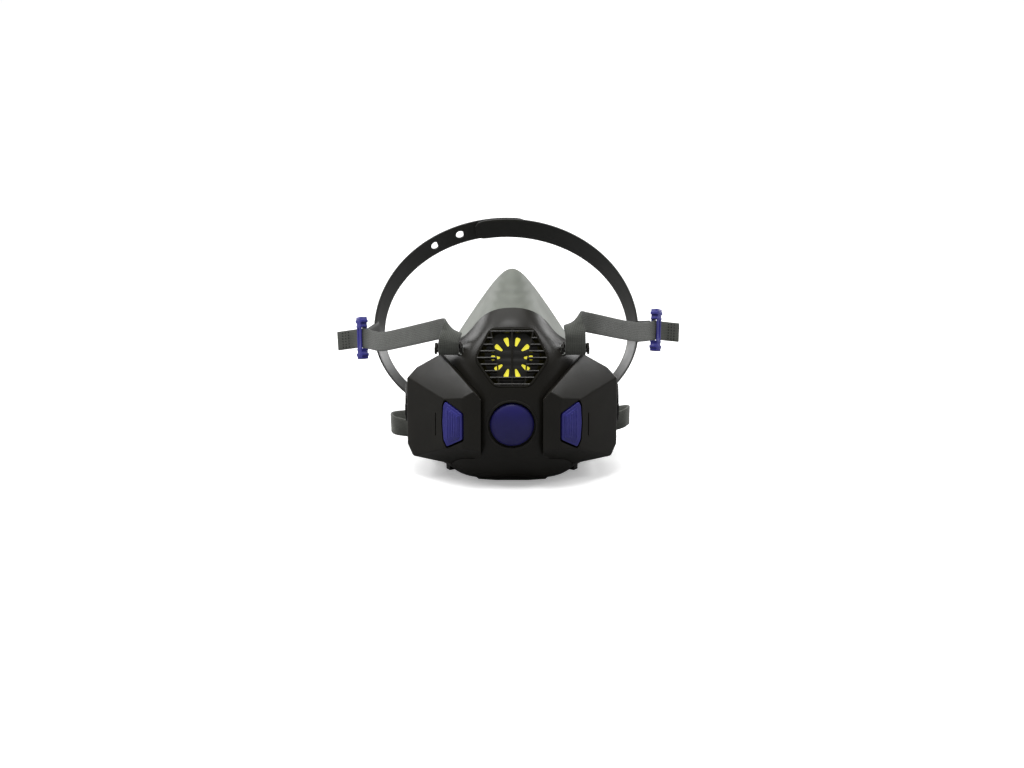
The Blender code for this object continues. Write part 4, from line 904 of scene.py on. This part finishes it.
tune(knit_out, Height=calc(knit, "ADD", calc(knit, "MULTIPLY", stitch, 0.8), fuzz))
streak = calc(knit, "MULTIPLY", object_noise(knit, 160, Detail=3), 0.4)
# Painted shade: the stitch pattern lightens the loop crowns and darkens the gaps; the streaks are
# random tone.
shade = calc(knit, "ADD", calc(knit, "MULTIPLY", stitch, 0.6), streak)
tune(knit_out, Shade=ramp(knit, shade, 0.2, 0.75))
place_across = calc(knit, "DIVIDE", across, knit_in.outputs["Width"])
edge_reach = calc(knit, "ABSOLUTE", calc(knit, "SUBTRACT", place_across, 0.5))
tune(knit_out, Selvedge=ramp(knit, edge_reach, 0.43, 0.46))


def elastic(name, dark, light):
    """Knitted elastic: painted shade lighter on loop crowns, darker between loops; flatter at the
    selvedges.
    """
    material, tree, shader = new_material(name)
    cloth = use_group(tree, knit)
    # The colour holds painted loop shade as well as the random streaks.
    tone_with_loop_shade = mixed(tree, cloth.outputs["Shade"], dark + (1,), light + (1,))
    edge = calc(tree, "MULTIPLY", cloth.outputs["Selvedge"], 0.35)
    tune(shader, Base_Color=mixed(tree, edge, tone_with_loop_shade, dark + (1,)))
    tune(shader, Roughness=ramp(tree, cloth.outputs["Shade"], 0, 1, 0.92, 0.78))
    tune(shader, Sheen_Weight=0.25, Sheen_Roughness=0.5, Specular_IOR_Level=0.3)
    bumped(tree, shader, cloth.outputs["Height"], 0.75, 0.00022)
    return material


def smooth_route(points, steps):
    """Points along a smooth curve through the given points, any number of values each."""
    ends = [points[0]] + list(points) + [points[-1]]
    route = []
    for a, b, c, d in zip(ends, ends[1:], ends[2:], ends[3:]):
        for step in range(steps):
            t = step / steps
            route.append(tuple(0.5 * (2 * q + (r - p) * t + (2 * p - 5 * q + 4 * r - s) * t * t
                                      + (3 * q - p - 3 * r + s) * t ** 3)
                               for p, q, r, s in zip(a, b, c, d)))
    route.append(tuple(points[-1]))
    return route


def band_section(width, thickness):
    """Half-rounded edges on a flat band, anticlockwise from the lower left."""
    half = width / 2
    r = thickness / 2
    section = [(-half + r + (width - thickness) * i / 6, -r) for i in range(7)]
    section += [(half - r + r * cos(a), r * sin(a)) for a in (-0.9, 0, 0.9)]
    return section + [(-a, -b) for a, b in section]


def loft(name, stations, thickness):
    """A flat band through (centre, edge direction, width) stations, with its cloth map in metres."""
    bm = bmesh.new()
    uv = bm.loops.layers.uv.new("cloth")
    centres = [Vector(station[0]) for station in stations]
    rings = []
    runs = []
    run = 0.0
    for i, (centre, edge, width) in enumerate(stations):
        forward = (centres[min(i + 1, len(centres) - 1)] - centres[max(i - 1, 0)]).normalized()
        edge = Vector(edge)
        edge = (edge - forward * edge.dot(forward)).normalized()
        face = forward.cross(edge).normalized()
        section = band_section(width, thickness)
        rings.append([(bm.verts.new((centres[i] + edge * a + face * b) * MM), (a + width / 2) * MM)
                      for a, b in section])
        if i:
            run += (centres[i] - centres[i - 1]).length * MM
        runs.append(run)
    for i in range(len(rings) - 1):
        for j in range(len(rings[i])):
            k = (j + 1) % len(rings[i])
            corners = (rings[i][j], rings[i][k], rings[i + 1][k], rings[i + 1][j])
            face = bm.faces.new([corner[0] for corner in corners])
            for loop, corner, row in zip(face.loops, corners, (i, i, i + 1, i + 1)):
                loop[uv].uv = (corner[1], runs[row])
    bm.faces.new([corner[0] for corner in rings[0]])
    bm.faces.new([corner[0] for corner in rings[-1]])
    return from_bmesh(name, bm)


def webbing(name, points, steps):
    route = smooth_route(points, steps)
    return smoothed(loft(name, [(p[:3], p[3:], STRAP_WIDTH) for p in route], STRAP_THICKNESS), 60)


def fold(side):
    """The strap's end, folded round the lug's bar."""
    x, y, z = LUG_BAR
    turn = LUG_BAR_RADIUS + GAP + STRAP_THICKNESS / 2 + 0.2
    points = [(side * x, y + turn, z + 5, side, 0, 0)]
    for i in range(5):
        angle = pi * i / 4
        points.append((side * x, y + turn * cos(angle), z - turn * sin(angle), side, 0, 0))
    return points


UPPER_ROUTES = {
    "left": [(39.5, -27.5, 89.5, 0.97, 0, 0.1), (39.3, -26.3, 95.5, 0.93, 0.12, 0.25),
             (38.3, -21.8, 100.2, 0.85, 0.3, 0.4), (40, -15, 101, 0.6, 0.35, 0.7),
             (45.5, -4, 97, 0.2, 0.2, 0.96), (55.5, 11, 91, 0, 0.1, 1),
             (70, 44, 79.3, -0.05, 0.15, 1), (82, 72, 70, -0.05, 0.25, 1),
             (90.5, 94, 64.5, -0.05, 0.3, 1), (96, 105, 62.5, -0.05, 0.3, 1),
             (101, 112, 60, -0.05, 0.3, 1), (112, 119, 57, -0.05, 0.3, 1)],
    "right": [(-39.6, -27.5, 88.5, -0.95, 0, 0.15), (-39, -26.3, 92, -0.9, 0.12, 0.3),
              (-37.4, -21.8, 95.6, -0.85, 0.3, 0.4), (-38.8, -15, 96.2, -0.6, 0.35, 0.7),
              (-44, -4, 92.6, -0.2, 0.2, 0.96), (-52, 10, 87, 0, 0.1, 1),
              (-69.5, 42, 74.5, 0.05, 0.15, 1), (-85, 72, 63.5, 0.05, 0.25, 1),
              (-94, 94, 58.8, 0.05, 0.3, 1), (-100, 105, 57, 0.05, 0.3, 1),
              (-105.5, 112, 54.5, 0.05, 0.3, 1), (-117, 119, 51, 0.05, 0.3, 1)],
}
grey_elastic = elastic("grey_elastic", (0.052, 0.055, 0.048), (0.108, 0.113, 0.1))
thread, thread_tree, thread_shader = new_material("thread")
twist = add_node(thread_tree, "ShaderNodeTexWave", Scale=900, Distortion=2).outputs["Fac"]
tune(thread_shader,
     Base_Color=mixed(thread_tree, twist, (0.006, 0.006, 0.005, 1), (0.02, 0.02, 0.018, 1)),
     Roughness=ramp(thread_tree, twist, 0, 1, 0.7, 0.9))


def bar_tacks(name, start, end, edge):
    """Three columns of short stitches across the strap's tail, on both faces."""
    start = Vector(start)
    end = Vector(end)
    edge = Vector(edge)
    forward = (end - start).normalized()
    edge = (edge - forward * edge.dot(forward)).normalized()
    face = forward.cross(edge)
    bm = bmesh.new()
    for column in (0.32, 0.5, 0.68):
        for row in range(6):
            up = (row - 2.5) * 1.9
            for side in (-1, 1):
                proud = face * (side * (STRAP_THICKNESS / 2 + 0.02))
                middle = start.lerp(end, column) + edge * up + proud
                axes = Matrix((forward, edge, face)).transposed().to_4x4()
                place = Matrix.Translation(middle * MM) @ axes
                stretch = Matrix.Diagonal((0.45 * MM, 0.5 * MM, 0.2 * MM, 1))
                bmesh.ops.create_icosphere(bm, subdivisions=2, radius=1, matrix=place @ stretch)
    return smoothed(from_bmesh(name, bm), 180)


SIDES = (("left", 1), ("right", -1))
for side, sign in SIDES:
    upper = webbing(f"{side}_upper_webbing", fold(sign) + UPPER_ROUTES[side], 10)
    dress(upper, grey_elastic, "harness", "webbing", f"{side}_upper_strap")
    tail_start, tail_end = UPPER_ROUTES[side][-2], UPPER_ROUTES[side][-1]
    tacks = bar_tacks(f"{side}_bar_tacks", tail_start[:3], tail_end[:3], tail_end[3:])
    dress(tacks, thread, "harness", "webbing")

# -------- buckles
# Blue nylon ladder buckles. Each has a slot for the doubled strap, thick T-shaped ends and
# two small nibs a side, and grips when the strap pulls it square.
BUCKLES = {
    "left": ((96, 105, 62.5), (9.5, 15, -6)),
    "right": ((-100, 105, 57), (-10.5, 15, -6)),
}


def buckle_place(side):
    """Local X along the strap, local Y up across it."""
    centre, forward = BUCKLES[side]
    return frame_at(centre, forward, (0, 0.3, 1))


for side in BUCKLES:
    place = buckle_place(side)
    half = 14.0
    quarter = [(2.9, half), (2.9, half - 1.6), (3.9, half - 2.2), (3.9, half - 3.6), (2.5, half - 3.8),
               (2.5, half - 5.6), (3.1, half - 6), (3.1, half - 6.7), (2.5, half - 7)]
    right_edge = quarter + [(a, -b) for a, b in reversed(quarter)]
    outline = right_edge + [(-a, -b) for a, b in right_edge]
    buckle = prism(f"{side}_ladder_buckle", [outline], -2.5, 2.5, place)
    buckle = cut(buckle, box("strap_slot", (-8, -7.35, -1.65), (8, 7.35, 1.65), place))
    waist = [(-1.2, -6.6), (1.2, -6.6), (1.2, 6.6), (-1.2, 6.6)]
    for low, high in ((-3.1, -2.1), (2.1, 3.1)):
        buckle = cut(buckle, prism("waist", [waist], low, high, place))
    buckle = smoothed(edged(buckle, 0.4, 3, 40), 35)
    dress(buckle, release_blue, f"{side}_buckle_body", "blue", f"{side}_buckle")

# -------- head cradle
# One long band of thin black nylon bent into a hoop for the back of the head. Its ends
# overlap at the top on two pegs, with two spare holes, and an arm each side holds a buckle.
CRADLE_CENTRE = Vector((-3.5, 115.4, 59.4))
CRADLE_HALF_WIDTH = 88.5
CRADLE_LEAN = radians(25)
BAND_WIDTH = 14.0
BAND_THICKNESS = 1.2
END_ROUND = 6.0
BAND_START = radians(104.7)
BAND_END = radians(80.8 - 360)
PEG_X = (-16, 2)
HOLE_X = (-37, -54.5)


def cradle_point(angle, layer):
    """Centre, edge direction and thickness direction of the band at an angle from +X."""
    up = Vector((0, sin(CRADLE_LEAN), cos(CRADLE_LEAN)))
    rear = Vector((0, cos(CRADLE_LEAN), -sin(CRADLE_LEAN)))
    rise = 77.0 if sin(angle) > 0 else 65.0
    radial = Vector((1, 0, 0)) * cos(angle) + up * sin(angle)
    across = Vector((CRADLE_HALF_WIDTH * cos(angle), 0, 0))
    front_edge = CRADLE_CENTRE + across + up * (rise * sin(angle))
    high = max(sin(angle), 0)
    low = max(-sin(angle), 0)
    flare = radians(27 + 23 * high ** 2 + 8 * low ** 2)
    edge = (radial * sin(flare) - rear * cos(flare)).normalized()
    outer = (radial * cos(flare) + rear * sin(flare)).normalized()
    return front_edge - edge * (BAND_WIDTH / 2) + outer * layer, edge, outer


def band_layer(angle):
    """How far the band has climbed so that its last stretch lies over its first."""
    return (2 * (BAND_START - angle) / (BAND_START - BAND_END) - 1) * 0.9


def angle_at(x):
    return acos((x - CRADLE_CENTRE.x) / CRADLE_HALF_WIDTH)


stations = []
steps = 240
for i in range(steps + 1):
    angle = BAND_START + (BAND_END - BAND_START) * i / steps
    centre, edge, _ = cradle_point(angle, band_layer(angle))
    from_end = min(i, steps - i) * 2.0
    width = BAND_WIDTH
    if from_end < END_ROUND:
        width = BAND_WIDTH * (0.5 + 0.5 * sqrt(1 - (1 - from_end / END_ROUND) ** 2))
    stations.append((centre, edge, width))
cradle = loft("cradle_band", stations, BAND_THICKNESS)
for x in HOLE_X + PEG_X:
    angle = angle_at(x) - 2 * pi
    centre, _, outer = cradle_point(angle, band_layer(angle))
    start = centre - outer * 0.75
    cradle = cut(cradle, rod("band_hole", 2.8, start, centre + outer * 3, 40))
cradle_parts = [cradle]
for x in PEG_X:
    angle = angle_at(x)
    centre, _, outer = cradle_point(angle, band_layer(angle))
    peg = rod("band_peg", 2.5, centre, centre + outer * 3.2, 40)
    cradle_parts.append(edged(peg, 0.35, 3))
for side, sign in SIDES:
    angle = 0.0 if side == "left" else -pi
    centre, _, outer = cradle_point(angle, band_layer(angle))
    near = (buckle_place(side) @ Vector((0, 0, -sign * 4.5 * MM))) / MM
    arm = []
    for i in range(13):
        share = i / 12
        arm.append((centre.lerp(near, share), (0, 0.3, 1), 15.0 - 2.0 * share))
    cradle_parts.append(loft(f"{side}_cradle_arm", arm, 1.6))
cradle = smoothed(gathered("cradle_hoop", cradle_parts), 40)
cradle_nylon = moulded("cradle_nylon", (0.03, 0.03, 0.028), (0.07, 0.07, 0.066), 0.34, 0.0006, 0.00003)
dress(cradle, cradle_nylon, "harness", "plastic", "head_cradle")

# -------- neck straps and clip
# The lower pair of elastics, held in slots at the chin, goes round the neck to a two-part
# black clip. Each is threaded and sewn like the upper pair.
NECK_ROUTES = {
    "left": [(30, -8, 2.8, 0.83, -0.55, 0), (35.5, 0.5, 2.8, 0.83, -0.55, 0),
             (43, 11.5, 3.2, 0.83, -0.5, 0.1), (50.5, 22, 4.8, 0.8, -0.5, 0.15),
             (57, 32.5, 9, 0.6, -0.5, 0.55), (64, 40, 15.5, 0.3, -0.3, 0.9),
             (74, 44.5, 19.8, 0.1, 0, 1), (75, 54, 19, 0, 0, 1),
             (60, 66, 13, 0, 0.1, 1), (36, 70, 9, 0, 0, 1),
             (17, 71, 7.6, 0, 0, 1)],
    "right": [(-30, -8, 2.8, -0.83, -0.55, 0), (-35.5, 0.5, 2.8, -0.83, -0.55, 0),
              (-43, 11.5, 3.2, -0.83, -0.5, 0.1), (-50.5, 22, 4.8, -0.8, -0.5, 0.15),
              (-57, 32.5, 8, -0.6, -0.5, 0.55), (-64.5, 40, 12.5, -0.3, -0.3, 0.9),
              (-76.5, 44.5, 14.4, -0.1, 0, 1), (-77, 54, 14.8, 0, 0, 1),
              (-60, 66, 12, 0, 0.1, 1), (-36, 70, 9, 0, 0, 1),
              (-17, 71, 7.6, 0, 0, 1)],
}
neck_elastic = elastic("neck_elastic", (0.085, 0.088, 0.078), (0.165, 0.17, 0.15))
for side in NECK_ROUTES:
    strap = webbing(f"{side}_neck_webbing", NECK_ROUTES[side], 10)
    dress(strap, neck_elastic, "mask", "webbing", f"{side}_neck_strap")
keep(["left_neck_lug", "right_neck_lug", "neck_clip_hook", "neck_clip_loop"], inner_plastic)
